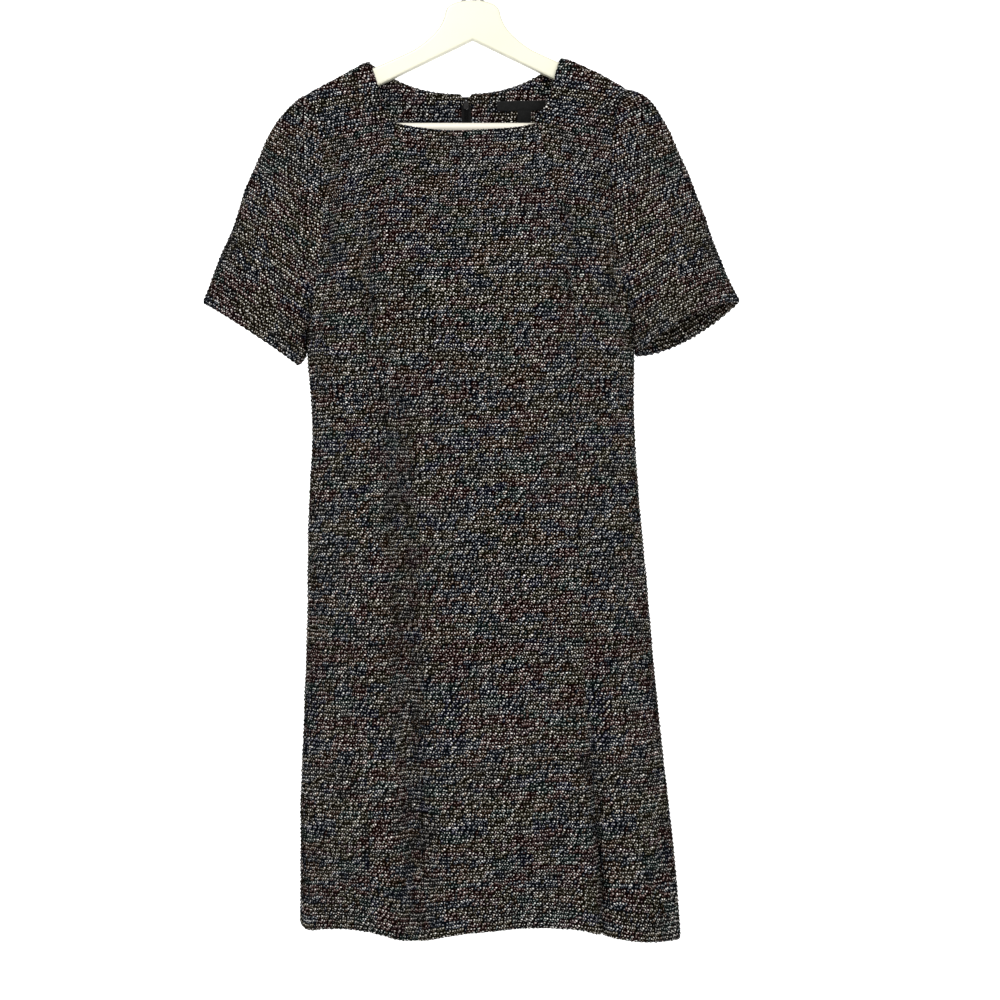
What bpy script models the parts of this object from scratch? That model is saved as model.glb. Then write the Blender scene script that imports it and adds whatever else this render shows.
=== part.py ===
"""A short-sleeved sheath dress of boucle tweed, hanging on a flat wooden hanger with a trouser bar.

The dress is cut with princess seams from the corners of a square neckline to the hem, set-in
sleeves and a centre-back zip. Sizes are in millimetres here and become metres in the objects.
+Z is up, the front faces -Y, and the origin is the inside top of the hook.
"""

import math
from collections import namedtuple

import bmesh
import bpy
import numpy as np
from mathutils import Matrix, Vector

MM = 0.001

# Cloth and seams
CLOTH = 2.2
SEAM_GAP = 0.6
EDGE_DEPTH = 0.4  # half the gap between front and back where they meet at a seam
LAYER_GAP = 0.35
FULLNESS = 2.4  # 2 makes the horizontal sections ellipses, more makes them squarer

# Landmarks. The dress hangs a little to one side on its hanger, so it leans to that side.
LEAN = math.radians(1.08)
DRESS_CENTRE = -9.0
NECK_POINT = (111.0, -137.5)  # reach from the centre line, level
SHOULDER_POINT = (182.0, -173.0)
UNDERARM_LEVEL = -440.0
BACK_NECK_LEVEL = -176.0
BACK_NECK_POWER = 2.4
FRONT_NECK_SAG = 7.5
SHOULDER_RAMP = 230.0  # how far below the shoulder the dress is filled out

Section = namedtuple("Section", "level left right front back")
SECTIONS = (
    Section(-180, -196, 178, 56, 50),
    Section(-330, -196, 178, 58, 50),
    Section(-440, -194, 176, 56, 48),
    Section(-560, -190, 174, 44, 40),
    Section(-620, -195, 177, 47, 46),
    Section(-760, -200, 186, 54, 56),
    Section(-900, -207, 197, 58, 60),
    Section(-1040, -213, 209, 60, 62),
    Section(-1140, -215, 216, 62, 64),
)

Seam = namedtuple("Seam", "level left right")
PRINCESS = (
    Seam(-207, -88, 70),
    Seam(-250, -96, 80),
    Seam(-310, -108, 91),
    Seam(-370, -117, 103),
    Seam(-450, -124, 109),
    Seam(-560, -123, 107),
    Seam(-700, -127, 108),
    Seam(-860, -131, 113),
    Seam(-960, -132, 119),
    Seam(-1060, -131, 125),
    Seam(-1140, -131, 126),
)

Edge = namedtuple("Edge", "level reach")
NECK_SIDE = (
    Edge(-137.5, 111),
    Edge(-150, 105),
    Edge(-166, 100.5),
    Edge(-185, 94),
    Edge(-200, 85),
    Edge(-207, 79),
)
ARMHOLE = (
    Edge(-173, 182),
    Edge(-188, 175),
    Edge(-215, 167),
    Edge(-265, 162),
    Edge(-330, 164),
    Edge(-390, 172),
    Edge(-425, 180),
    Edge(-440, 185),
)

# The cloth rolls over the hanger's arm: drop below the shoulder line, half depth there
Roll = namedtuple("Roll", "drop depth")
ROLL = (Roll(0, 0), Roll(0.6, 4.2), Roll(2.6, 7.6), Roll(7, 9.6), Roll(20, 11.5))

# Rows of the side fronts and backs down to the underarm. A row runs from the neck edge or the
# princess seam to the armhole, and keep is how much of the shoulder's rise it still has.
Row = namedtuple("Row", "front back outer keep")
UPPER_ROWS = (
    Row(-137.5, -176, -173, 1),
    Row(-138.1, -178, -173.6, 1),
    Row(-140.1, -181, -175.6, 1),
    Row(-144.5, -186, -180, 1),
    Row(-164, -198, -203, 0.8),
    Row(-185, -212, -224, 0.62),
    Row(-207, -230, -242, 0.45),
    Row(-246, -262, -276, 0.25),
    Row(-290, -300, -313, 0.12),
    Row(-335, -341, -351, 0.05),
    Row(-380, -384, -391, 0),
    Row(-420, -421, -424, 0),
    Row(-440, -440, -440, 0),
)
NECK_ROW = 6  # the row that starts at the neckline's corner
LOWER_LEVELS = (-475, -515, -560, -605, -655, -710, -765, -820, -875, -930, -985, -1040, -1085)

HemPoint = namedtuple("HemPoint", "x front back")
HEM = (
    HemPoint(-216, -1117, -1117),
    HemPoint(-150, -1112, -1116),
    HemPoint(-86, -1121, -1122),
    HemPoint(0, -1113, -1116),
    HemPoint(48, -1108, -1119),
    HemPoint(110, -1116, -1126),
    HemPoint(160, -1128, -1124),
    HemPoint(217, -1134, -1134),
)
HEM_LEVEL = -1120.0
HEM_BLEND = 110.0  # the rows follow the hem's line over this height

# Soft folds: a trough is negative and a ridge positive. Each starts at top and runs to the hem.
Fold = namedtuple("Fold", "x_top x_hem top depth width")
FRONT_FOLDS = (
    Fold(-106, -83, -500, -9, 19),
    Fold(-150, -140, -560, 5, 36),
    Fold(20, 12, -640, -3, 50),
    Fold(62, 69, -600, -4, 14),
    Fold(108, 126, -760, -5, 12),
    Fold(150, 172, -740, 6, 30),
)
BACK_FOLDS = (
    Fold(-120, -128, -620, -7, 22),
    Fold(-60, -66, -700, 5, 30),
    Fold(64, 80, -660, -7, 20),
    Fold(128, 146, -760, 5, 28),
)
FOLD_START = 170.0  # a fold reaches its full depth over this height
Bust = namedtuple("Bust", "reach level depth radius")
BUST = Bust(102, -372, 9, 62)

# Sleeves: the line over the shoulder to the cuff's outer tip, and the rings' half depths
Ring = namedtuple("Ring", "share reach level depth")
SLEEVE_RINGS = (
    Ring(0.0, 182, -173, 28),
    Ring(0.06, 200, -183.5, 29),
    Ring(0.115, 210.5, -192, 31),
    Ring(0.2, 224, -213, 33),
    Ring(0.38, 247, -265, 36),
    Ring(0.58, 267, -318, 35),
    Ring(0.79, 286, -366, 31),
    Ring(1.0, 302, -405, 27),
)
UNDERARM_SLEEVE = (187.0, -440.0)
CUFF_INNER = (196.0, -476.0)
UNDERARM_CLEARANCE = 3.0
CUFF_TILT = {-1: 4.0, 1: -11.0}  # how far the front of the left and right cuff hangs lower

# Back neck facing, labels and zip
FACING_DEPTH = 52.0
FACING_DROP = 1.2  # below the back neck's turned edge
FACING_REACH = 100.0
FACING_SLIT = 4.6  # from the centre line to each facing's folded edge
FACING_WALL = 1.4
TAPE_WALL = 0.6
TAPE_WIDTH = 12.0
ZIP_LENGTH = 520.0
LABEL_WALL = 0.5
LABEL = (26.0, 86.0, -182.3, -193.6)  # left, right, top, bottom
SIZE_TAB = (50.0, 67.0, -193.9, -207.5)

# Hanger
HANGER_HALF_THICK = 6.0
HEAD_TOP = -66.0
NOTCH_LEVEL = -113.4
LOWER_SLOPE = 0.483
BAR_LEVEL = -212.5
BAR_RADIUS = 5.0
LOBE_INNER = 185.0
WIRE_RADIUS = 1.8
HOOK_INSIDE = 17.0
HOOK_NECK = 12.0
SHANK_BOTTOM = HEAD_TOP - 12.0
SHANK_HOLE_HEIGHT = 24.0
EDGE_ROUNDING = 2.6
FIT = 0.3  # the gap round a piece that sits in another


# ---------------------------------------------------------------- shape of the dress


def smooth(known, values, at):
    """The value at a place, on a smooth curve through known places in rising order."""
    known, values = np.array(known, float), np.array(values, float)
    slopes = np.gradient(values, known)
    at = min(max(at, known[0]), known[-1])
    i = min(max(int(np.searchsorted(known, at)) - 1, 0), len(known) - 2)
    step = known[i + 1] - known[i]
    t = (at - known[i]) / step
    return (
        (2 * t**3 - 3 * t**2 + 1) * values[i]
        + (t**3 - 2 * t**2 + t) * step * slopes[i]
        + (3 * t**2 - 2 * t**3) * values[i + 1]
        + (t**3 - t**2) * step * slopes[i + 1]
    )


def at_level(table, column, level):
    """A column of a table whose rows run downwards, at any level."""
    return smooth([-row.level for row in table], [getattr(row, column) for row in table], -level)


def ease(share):
    share = min(max(share, 0.0), 1.0)
    return share * share * (3 - 2 * share)


def centre_at(level):
    if level > UNDERARM_LEVEL:
        return DRESS_CENTRE
    return (at_level(SECTIONS, "left", level) + at_level(SECTIONS, "right", level)) / 2


def reach_at(level):
    return (at_level(SECTIONS, "right", level) - at_level(SECTIONS, "left", level)) / 2


def shoulder_level(reach):
    """The level of the shoulder line, which is level with the neck point inside it."""
    slope = (SHOULDER_POINT[1] - NECK_POINT[1]) / (SHOULDER_POINT[0] - NECK_POINT[0])
    return NECK_POINT[1] + slope * max(reach - NECK_POINT[0], 0.0)


def fold_depth(folds, x, level):
    total = 0.0
    for fold in folds:
        along = (fold.top - level) / (fold.top - HEM_LEVEL)
        middle = fold.x_top + (fold.x_hem - fold.x_top) * along
        strength = ease((fold.top - level) / FOLD_START)
        total += fold.depth * strength * math.exp(-(((x - middle) / fold.width) ** 2))
    return total


def half_depth(x, level, column):
    """How far the front or back panel lies from the plane of the hanger."""
    share = min(abs(x - centre_at(level)) / reach_at(level), 1.0)
    lateral = (1 - share**FULLNESS) ** (1 / FULLNESS)
    fall = max(shoulder_level(abs(x - DRESS_CENTRE)) - level, 0.0)
    roll = float(np.interp(fall, [r.drop for r in ROLL], [r.depth for r in ROLL]))
    roll *= ease((level - UNDERARM_LEVEL - 8) / 100)
    full = at_level(SECTIONS, column, level)
    depth = roll + (full - roll) * lateral * ease(fall / SHOULDER_RAMP)
    folds = FRONT_FOLDS if column == "front" else BACK_FOLDS
    depth += fold_depth(folds, x, level) * (1 - share**6)
    if column == "front":
        for side in (-1, 1):
            away = math.hypot(x - DRESS_CENTRE - side * BUST.reach, level - BUST.level)
            depth += BUST.depth * math.exp(-((away / BUST.radius) ** 2)) * (1 - share**6)
    return max(depth, EDGE_DEPTH)


def front_point(x, level):
    return (x, -half_depth(x, level, "front"), level)


def back_point(x, level, outward=0.0):
    return (x, half_depth(x, level, "back") + outward, level)


def hem_shift(x, level, column):
    """How far a row near the hem moves to follow the hem's line."""
    share = ease(1 - (level - HEM_LEVEL) / HEM_BLEND)
    hem = smooth([p.x for p in HEM], [getattr(p, column) for p in HEM], x)
    return (hem - HEM_LEVEL) * share


def panel_point(x, level, column):
    """A point of a front or back panel, whose lowest rows follow the hem's line."""
    point = front_point(x, level) if column == "front" else back_point(x, level)
    return (point[0], point[1], level + hem_shift(x, level, column))


def outer_reach(level):
    return at_level(ARMHOLE, "reach", level)


def outer_x(side, level):
    """The armhole edge, and below it the side seam."""
    if level >= UNDERARM_LEVEL:
        return DRESS_CENTRE + side * outer_reach(level)
    return at_level(SECTIONS, "left" if side < 0 else "right", level)


def inner_x(side, level):
    """The side of the neckline, and below its corner the princess seam."""
    if level > PRINCESS[0].level:
        return DRESS_CENTRE + side * at_level(NECK_SIDE, "reach", level)
    return at_level(PRINCESS, "left" if side < 0 else "right", level)


def lower_rows():
    return [Row(z, z, z, 0) for z in LOWER_LEVELS + (HEM_LEVEL,)]


SIDE_COLUMNS = (0, 0.2, 0.4, 0.6, 0.78, 0.91, 0.98, 1)
BACK_COLUMNS = (0, 0.14, 0.28, 0.41, 0.51, 0.57, 0.595, 0.61, 0.71, 0.81, 0.9, 0.97, 1)
CENTRE_COLUMNS = 14


def side_front_grid(side):
    grid = []
    for row in UPPER_ROWS + tuple(lower_rows()):
        start = inner_x(side, row.front) + side * SEAM_GAP / 2
        end = outer_x(side, row.outer)
        line = []
        for share in SIDE_COLUMNS:
            x = start + (end - start) * share
            level = row.front + (row.outer - row.front) * share
            line.append(panel_point(x, level, "front"))
        grid.append(line)
    return grid


def centre_front_grid():
    grid = []
    for index, row in enumerate(UPPER_ROWS[NECK_ROW:] + tuple(lower_rows())):
        start = inner_x(-1, row.front) + SEAM_GAP / 2
        end = inner_x(1, row.front) - SEAM_GAP / 2
        line = []
        for column in range(CENTRE_COLUMNS + 1):
            share = column / CENTRE_COLUMNS
            x = start + (end - start) * share
            sag = FRONT_NECK_SAG * 4 * share * (1 - share) * max(1 - index / 3, 0)
            level = row.front - sag
            line.append(panel_point(x, level, "front"))
        grid.append(line)
    return grid


def back_top_level(reach):
    """The back neck edge, and outside the neck point the shoulder seam."""
    if reach > NECK_POINT[0]:
        return shoulder_level(reach)
    rise = (reach / NECK_POINT[0]) ** BACK_NECK_POWER
    return BACK_NECK_LEVEL + (NECK_POINT[1] - BACK_NECK_LEVEL) * rise


def zip_slit(level):
    """Half the gap at the centre back, which stands open round the slider's neck."""
    open_share = ease((level - BACK_NECK_LEVEL + 24) / 8)
    return SEAM_GAP / 2 + 1.0 * open_share


def back_grid(side):
    grid = []
    for row in UPPER_ROWS + tuple(lower_rows()):
        start = centre_at(row.back) + side * zip_slit(row.back)
        end = outer_x(side, row.outer)
        line = []
        for share in BACK_COLUMNS:
            x = start + (end - start) * share
            level = row.back + (row.outer - row.back) * share
            straight = BACK_NECK_LEVEL + (SHOULDER_POINT[1] - BACK_NECK_LEVEL) * share
            level += (back_top_level(abs(x - DRESS_CENTRE)) - straight) * row.keep
            line.append(panel_point(x, level, "back"))
        grid.append(line)
    return grid


def armhole_loop(side):
    """Points round the armhole: down the front edge, and up the back edge."""
    front, back = [], []
    for row in UPPER_ROWS:
        x = outer_x(side, row.outer)
        front.append(front_point(x, row.outer))
        back.append(back_point(x, row.outer))
    front[0] = back[0] = (front[0][0], 0.0, front[0][2])
    front[-1] = (front[-1][0], 0.0, front[-1][2])
    return np.array(front + back[-2:0:-1])


def sleeve_grid(side):
    """Rings from the armhole to the cuff. Each keeps part of the armhole's own shape."""
    loop = armhole_loop(side)
    top, bottom = loop[:, 2].max(), loop[:, 2].min()
    along = (top - loop[:, 2]) / (top - bottom)
    sign = np.where(loop[:, 1] < 0, -1, 1)
    across = np.sqrt(np.clip(1 - (1 - 2 * along) ** 2, 0, 1)) * sign
    rings = []
    for ring in SLEEVE_RINGS:
        t = ring.share
        outer = np.array((DRESS_CENTRE + side * ring.reach, 0, ring.level))
        inner_reach = UNDERARM_SLEEVE[0] + (CUFF_INNER[0] - UNDERARM_SLEEVE[0]) * t
        inner_level = UNDERARM_SLEEVE[1] + (CUFF_INNER[1] - UNDERARM_SLEEVE[1]) * t
        inner = np.array((DRESS_CENTRE + side * inner_reach, 0, inner_level))
        tilt = CUFF_TILT[side] * t * t
        points = outer + (inner - outer) * along[:, None]
        points[:, 1] += across * ring.depth
        points[:, 2] += across * tilt
        rings.append(points)
    plain = rings[0].copy()
    for ring, points in zip(SLEEVE_RINGS, rings):
        points += (loop - plain) * (1 - ring.share) ** 2
    lead = rings[1] - rings[0]
    rings[0] = rings[0] + lead / np.linalg.norm(lead, axis=1)[:, None] * SEAM_GAP * 1.4
    near_underarm = np.array([ease((a - 0.75) / 0.25) for a in along])
    for ring, points in zip(SLEEVE_RINGS, rings):
        points[:, 0] += side * UNDERARM_CLEARANCE * near_underarm * (1 - ring.share)
    return rings


# ---------------------------------------------------------------- objects


def material(name, colour, roughness, metallic=0.0):
    found = bpy.data.materials.get(name)
    if found:
        return found
    made = bpy.data.materials.new(name)
    made.use_nodes = True
    shader = made.node_tree.nodes["Principled BSDF"]
    shader.inputs["Base Color"].default_value = (*colour, 1)
    shader.inputs["Roughness"].default_value = roughness
    shader.inputs["Metallic"].default_value = metallic
    return made


def tweed():
    return material("boucle_tweed", (0.07, 0.065, 0.075), 0.9)


def woven_black():
    return material("woven_black", (0.012, 0.012, 0.014), 0.6)


def painted_wood():
    return material("painted_wood", (0.87, 0.85, 0.76), 0.35)


def steel():
    return material("steel", (0.55, 0.53, 0.5), 0.3, 1.0)


def dark_metal():
    return material("dark_metal", (0.06, 0.06, 0.065), 0.45, 0.6)


def put_in_scene(name, mesh, finish):
    made = bpy.data.objects.new(name, mesh)
    mesh.materials.clear()
    mesh.materials.append(finish)
    bpy.data.collections["sheath_dress"].objects.link(made)
    return made


def grid_mesh(name, grid, wrap=False):
    """A mesh of quads over a grid in millimetres. A wrapped grid closes round each row."""
    rows, columns = len(grid), len(grid[0])
    points = [tuple(value * MM for value in point) for line in grid for point in line]
    last = columns if wrap else columns - 1
    faces = [
        (
            r * columns + c,
            r * columns + (c + 1) % columns,
            (r + 1) * columns + (c + 1) % columns,
            (r + 1) * columns + c,
        )
        for r in range(rows - 1)
        for c in range(last)
    ]
    mesh = bpy.data.meshes.new(name)
    mesh.from_pydata(points, [], faces)
    mesh.shade_smooth()
    return mesh


def shell(name, grid, finish, wall=CLOTH, wrap=False):
    made = put_in_scene(name, grid_mesh(name, grid, wrap), finish)
    solidify = made.modifiers.new("Wall", "SOLIDIFY")
    solidify.thickness = wall * MM
    solidify.offset = 0
    return made


def build_panels():
    shell("front_centre", centre_front_grid(), tweed())
    for side, name in ((-1, "left"), (1, "right")):
        shell(f"front_side_{name}", side_front_grid(side), tweed())
        shell(f"back_{name}", back_grid(side), tweed())
        shell(f"sleeve_{name}", sleeve_grid(side), tweed(), wrap=True)


def inside_back(x, level, layer):
    """A point inside the back, layer millimetres in front of the middle of its wall."""
    return back_point(x, level, -layer)


TAPE_LAYER = CLOTH / 2 + LAYER_GAP + TAPE_WALL / 2
FACING_LAYER = TAPE_LAYER + TAPE_WALL / 2 + LAYER_GAP + FACING_WALL / 2
LABEL_LAYER = FACING_LAYER + FACING_WALL / 2 + LAYER_GAP + LABEL_WALL / 2


def build_facings():
    columns, rows = 9, 3
    for side, name in ((-1, "left"), (1, "right")):
        grid = []
        for row in range(rows + 1):
            line = []
            for column in range(columns + 1):
                reach = FACING_SLIT + (FACING_REACH - FACING_SLIT) * column / columns
                top = back_top_level(reach) - FACING_DROP
                x = DRESS_CENTRE + side * reach
                line.append(inside_back(x, top - FACING_DEPTH * row / rows, FACING_LAYER))
            grid.append(line)
        shell(f"neck_facing_{name}", grid, tweed(), FACING_WALL)


def build_labels():
    for name, (left, right, top, bottom) in (("neck_label", LABEL), ("size_tab", SIZE_TAB)):
        columns = 6
        xs = [left + (right - left) * c / columns for c in range(columns + 1)]
        grid = [[inside_back(x, z, LABEL_LAYER) for x in xs] for z in (top, bottom)]
        shell(name, grid, woven_black(), LABEL_WALL)


def build_zip_tapes():
    rows = UPPER_ROWS[1:] + tuple(lower_rows())
    levels = [row.back for row in rows if row.back > BACK_NECK_LEVEL - ZIP_LENGTH]
    for side, name in ((-1, "left"), (1, "right")):
        grid = []
        for level in levels:
            start = centre_at(level) + side * zip_slit(level)
            xs = [start, start + side * TAPE_WIDTH / 2, start + side * TAPE_WIDTH]
            grid.append([inside_back(x, level, TAPE_LAYER) for x in xs])
        shell(f"zip_tape_{name}", grid, woven_black(), TAPE_WALL)


# The slider's parts are boxes: half width along X, then the reach outwards from the middle of
# the back's wall and the reach up from the slider's middle, low and high for each.
Block = namedtuple("Block", "half_width out_low out_high up_low up_high")
SLIDER_BLOCKS = (
    Block(2.8, -5.4, -2.4, -4.6, 4.6),
    Block(0.6, -2.8, 2.1, -3.2, 3.2),
    Block(2.0, 1.5, 2.6, -4.6, 4.6),
    Block(0.8, 2.4, 5.8, 2.7, 4.2),
    Block(0.8, 2.4, 5.8, -4.2, -2.7),
    Block(0.8, 5.1, 6.0, -4.2, 4.2),
)
PULL_AXIS = (3.8, 1.4)  # outwards and up, inside the bridge
PULL_ROD = 0.55
PULL_HALF_WIDTH = 3.0
PULL_ARM = 1.4  # the slot's half width
PULL_HALF_THICK = 0.55
PULL_SLOT_END = 6.6
PULL_LENGTH = 25.0
PULL_LEAN = math.radians(2.5)
SLIDER_LEVEL = BACK_NECK_LEVEL - 8.0


def zip_frame():
    """The matrix from the slider's own axes (X, outwards, up the cloth) to the dress."""
    lean_over = 8.0
    low = back_point(DRESS_CENTRE, SLIDER_LEVEL - lean_over)
    high = back_point(DRESS_CENTRE, SLIDER_LEVEL + lean_over)
    up = (Vector(high) - Vector(low)).normalized()
    along = Vector((1, 0, 0))
    out = up.cross(along)
    middle = Vector(back_point(DRESS_CENTRE, SLIDER_LEVEL)) * MM
    axes = Matrix((along, out, up)).transposed()
    return Matrix.Translation(middle) @ axes.to_4x4()


def block_object(name, block, finish):
    bpy.ops.mesh.primitive_cube_add(size=1)
    cube = bpy.context.object
    size = Vector(
        (2 * block.half_width, block.out_high - block.out_low, block.up_high - block.up_low)
    )
    middle = Vector(
        (0, (block.out_high + block.out_low) / 2, (block.up_high + block.up_low) / 2)
    )
    cube.data.transform(Matrix.Translation(middle * MM) @ Matrix.Diagonal((*(size * MM), 1)))
    mesh = cube.data
    bpy.data.objects.remove(cube)
    return put_in_scene(name, mesh, finish)


def move_to_cutters(helper):
    helper.hide_render = True
    helper.display_type = "WIRE"
    bpy.data.collections["sheath_dress"].objects.unlink(helper)
    bpy.data.collections["cutters"].objects.link(helper)


def build_slider():
    frame = zip_frame()
    slider = block_object("zip_slider", SLIDER_BLOCKS[0], dark_metal())
    slider.matrix_world = frame
    for index, block in enumerate(SLIDER_BLOCKS[1:]):
        helper = block_object(f"slider_block_{index}", block, dark_metal())
        helper.matrix_world = frame
        move_to_cutters(helper)
        join = slider.modifiers.new(f"Join {index}", "BOOLEAN")
        join.operation = "UNION"
        join.object = helper


def build_pull_tab():
    """The tab hangs from the slider's bridge: a rod through it, two arms and a plate."""
    axis = Vector((0, PULL_AXIS[0], PULL_AXIS[1])) * MM
    place = zip_frame() @ Matrix.Translation(axis) @ Matrix.Rotation(-PULL_LEAN, 4, "X")
    thick = PULL_HALF_THICK
    plate = Block(PULL_HALF_WIDTH, -thick, thick, -PULL_LENGTH, PULL_ROD)
    slot = Block(PULL_ARM, -2 * thick, 2 * thick, -PULL_SLOT_END, -PULL_ROD)
    tab = block_object("zip_pull_tab", plate, dark_metal())
    tab.matrix_world = place
    cutter = block_object("pull_slot", slot, dark_metal())
    cutter.matrix_world = place
    move_to_cutters(cutter)
    cut = tab.modifiers.new("Slot", "BOOLEAN")
    cut.operation = "DIFFERENCE"
    cut.object = cutter


# ---------------------------------------------------------------- hanger


def arc(centre, radius, start, end, steps):
    """Points on an arc in the plane of X and Z, between two angles in degrees."""
    angles = [math.radians(start + (end - start) * k / steps) for k in range(steps + 1)]
    return [(centre[0] + radius * math.cos(a), centre[1] + radius * math.sin(a)) for a in angles]


def lower_edge(x):
    return NOTCH_LEVEL - LOWER_SLOPE * x


def hanger_half_outline():
    """The right half from the top of the head, round the arm and back to the notch.

    The hollow is the curve beside the head, and an arm's end is steeper than the arm.
    """
    hollow = ((33.5, -88), (37, -96.5), (43, -105), (53, -114), (66, -122), (82, -130.5))
    arm_top = ((100, -139.8), (115, -146.6), (130, -153.2), (150, -161.9))
    arm_end = ((165, -169.4), (180, -177.6))
    points = arc((22, HEAD_TOP - 10), 10, 90, 0, 4)
    points += hollow
    points += arm_top + arm_end
    points += arc((186, -197), 14, 65, 0, 4)
    points += arc((192, -214), 8, 0, -90, 3)
    points += [(LOBE_INNER, -223), (LOBE_INNER, lower_edge(LOBE_INNER))]
    points.append((0, NOTCH_LEVEL))
    return points


def solid_from_curve(name, curve, finish):
    """A welded mesh object of a curve, which takes modifiers."""
    guide = bpy.data.objects.new(name + "_guide", curve)
    bpy.context.scene.collection.objects.link(guide)
    bpy.context.view_layer.update()
    graph = bpy.context.evaluated_depsgraph_get()
    mesh = bpy.data.meshes.new_from_object(guide.evaluated_get(graph))
    mesh.name = name
    edit = bmesh.new()
    edit.from_mesh(mesh)
    bmesh.ops.remove_doubles(edit, verts=edit.verts, dist=1e-6)
    bmesh.ops.recalc_face_normals(edit, faces=edit.faces)
    edit.to_mesh(mesh)
    edit.free()
    made = put_in_scene(name, mesh, finish)
    made.matrix_world = guide.matrix_world
    bpy.data.objects.remove(guide)
    return made


def build_hanger_body():
    half = hanger_half_outline()
    outline = half + [(-x, z) for x, z in half[-2::-1]]
    curve = bpy.data.curves.new("hanger_outline", "CURVE")
    curve.dimensions = "2D"
    curve.fill_mode = "BOTH"
    curve.extrude = HANGER_HALF_THICK * MM
    spline = curve.splines.new("POLY")
    spline.points.add(len(outline) - 1)
    spline.use_cyclic_u = True
    for point, (x, z) in zip(spline.points, outline):
        point.co = (x * MM, z * MM, 0, 1)
    body = solid_from_curve("hanger_body", curve, painted_wood())
    body.data.transform(Matrix.Rotation(math.pi / 2, 4, "X"))
    bevel = body.modifiers.new("Edges", "BEVEL")
    bevel.width = EDGE_ROUNDING * MM
    bevel.segments = 2
    bevel.limit_method = "ANGLE"
    bevel.angle_limit = math.radians(60)
    bpy.ops.mesh.primitive_cylinder_add(
        vertices=16,
        radius=(WIRE_RADIUS + FIT) * MM,
        depth=SHANK_HOLE_HEIGHT * MM,
        location=(0, 0, (SHANK_BOTTOM - FIT + SHANK_HOLE_HEIGHT / 2) * MM),
    )
    cutter = bpy.context.object
    cutter.name = "shank_hole"
    for collection in list(cutter.users_collection):
        collection.objects.unlink(cutter)
    bpy.data.collections["sheath_dress"].objects.link(cutter)
    move_to_cutters(cutter)
    hole = body.modifiers.new("Shank hole", "BOOLEAN")
    hole.object = cutter


def build_bar():
    bpy.ops.mesh.primitive_cylinder_add(
        vertices=16,
        radius=BAR_RADIUS * MM,
        depth=2 * (LOBE_INNER - FIT) * MM,
        location=(0, 0, BAR_LEVEL * MM),
        rotation=(0, math.pi / 2, 0),
    )
    bar = bpy.context.object
    mesh = bar.data
    place = bar.matrix_world.copy()
    bpy.data.objects.remove(bar)
    made = put_in_scene("hanger_bar", mesh, painted_wood())
    made.matrix_world = place


def hook_route():
    """A round bow over the rod, a reverse bend under it, and a straight shank into the head."""
    bow = HOOK_INSIDE + WIRE_RADIUS
    middle = (0, -HOOK_INSIDE)
    turn = math.degrees(math.acos(HOOK_NECK / (bow + HOOK_NECK)))
    points = arc(middle, bow, 205, -turn, 22)
    reach = (bow + HOOK_NECK) * math.cos(math.radians(turn))
    fall = middle[1] - (bow + HOOK_NECK) * math.sin(math.radians(turn))
    points += arc((reach, fall), HOOK_NECK, 180 - turn, 180, 6)[1:]
    points += [(0, HEAD_TOP + 6), (0, SHANK_BOTTOM)]
    return points


def build_hook():
    route = hook_route()
    curve = bpy.data.curves.new("hook", "CURVE")
    curve.dimensions = "3D"
    curve.bevel_depth = WIRE_RADIUS * MM
    curve.bevel_resolution = 2
    curve.use_fill_caps = True
    spline = curve.splines.new("POLY")
    spline.points.add(len(route) - 1)
    for point, (x, z) in zip(spline.points, route):
        point.co = (x * MM, 0, z * MM, 1)
    solid_from_curve("hanger_hook", curve, steel())


def lean_dress():
    """Parents the dress to an empty at the hanger's notch, turned so that it leans."""
    pivot = bpy.data.objects.new("dress_lean", None)
    bpy.context.scene.collection.objects.link(pivot)
    pivot.location = (0, 0, NOTCH_LEVEL * MM)
    pivot.rotation_euler = (0, -LEAN, 0)
    back_up = Matrix.Translation((0, 0, -NOTCH_LEVEL * MM))
    for name in ("sheath_dress", "cutters"):
        for piece in bpy.data.collections[name].objects:
            piece.parent = pivot
            piece.matrix_parent_inverse = back_up


def clear_scene():
    for old in list(bpy.data.objects):
        bpy.data.objects.remove(old)
    for name in ("sheath_dress", "cutters"):
        collection = bpy.data.collections.new(name)
        bpy.context.scene.collection.children.link(collection)


def main():
    clear_scene()
    build_panels()
    build_facings()
    build_labels()
    build_zip_tapes()
    build_slider()
    build_pull_tab()
    lean_dress()
    build_hanger_body()
    build_bar()
    build_hook()


main()
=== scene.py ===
# Looks for the tweed sheath dress on its hanger: beaded cloth, labels, zip, painted wood and wire.
import math
from collections import namedtuple
from functools import partial

import bmesh
import bpy
import numpy as np
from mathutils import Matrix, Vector
from mathutils.geometry import delaunay_2d_cdt
from mathutils.kdtree import KDTree


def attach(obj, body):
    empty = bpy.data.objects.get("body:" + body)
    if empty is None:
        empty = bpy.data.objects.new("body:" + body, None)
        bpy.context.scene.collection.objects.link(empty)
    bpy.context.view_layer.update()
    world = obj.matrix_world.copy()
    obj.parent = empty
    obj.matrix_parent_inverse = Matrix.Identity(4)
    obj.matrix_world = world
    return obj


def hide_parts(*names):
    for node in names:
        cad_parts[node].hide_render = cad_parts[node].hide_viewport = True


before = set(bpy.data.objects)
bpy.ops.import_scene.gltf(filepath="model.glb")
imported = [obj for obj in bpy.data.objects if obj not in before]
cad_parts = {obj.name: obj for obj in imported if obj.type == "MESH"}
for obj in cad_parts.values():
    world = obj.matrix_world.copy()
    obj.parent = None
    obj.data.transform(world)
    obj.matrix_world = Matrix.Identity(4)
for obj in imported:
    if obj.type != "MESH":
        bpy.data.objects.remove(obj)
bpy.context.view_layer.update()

MM = 0.001
BODY = "dress_on_hanger"
WORD = {-1: "left", 1: "right"}


def table(fields, *rows):
    """Rows whose values go by name."""
    kind = namedtuple("Row", fields)
    return [kind(*row) for row in rows]


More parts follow.
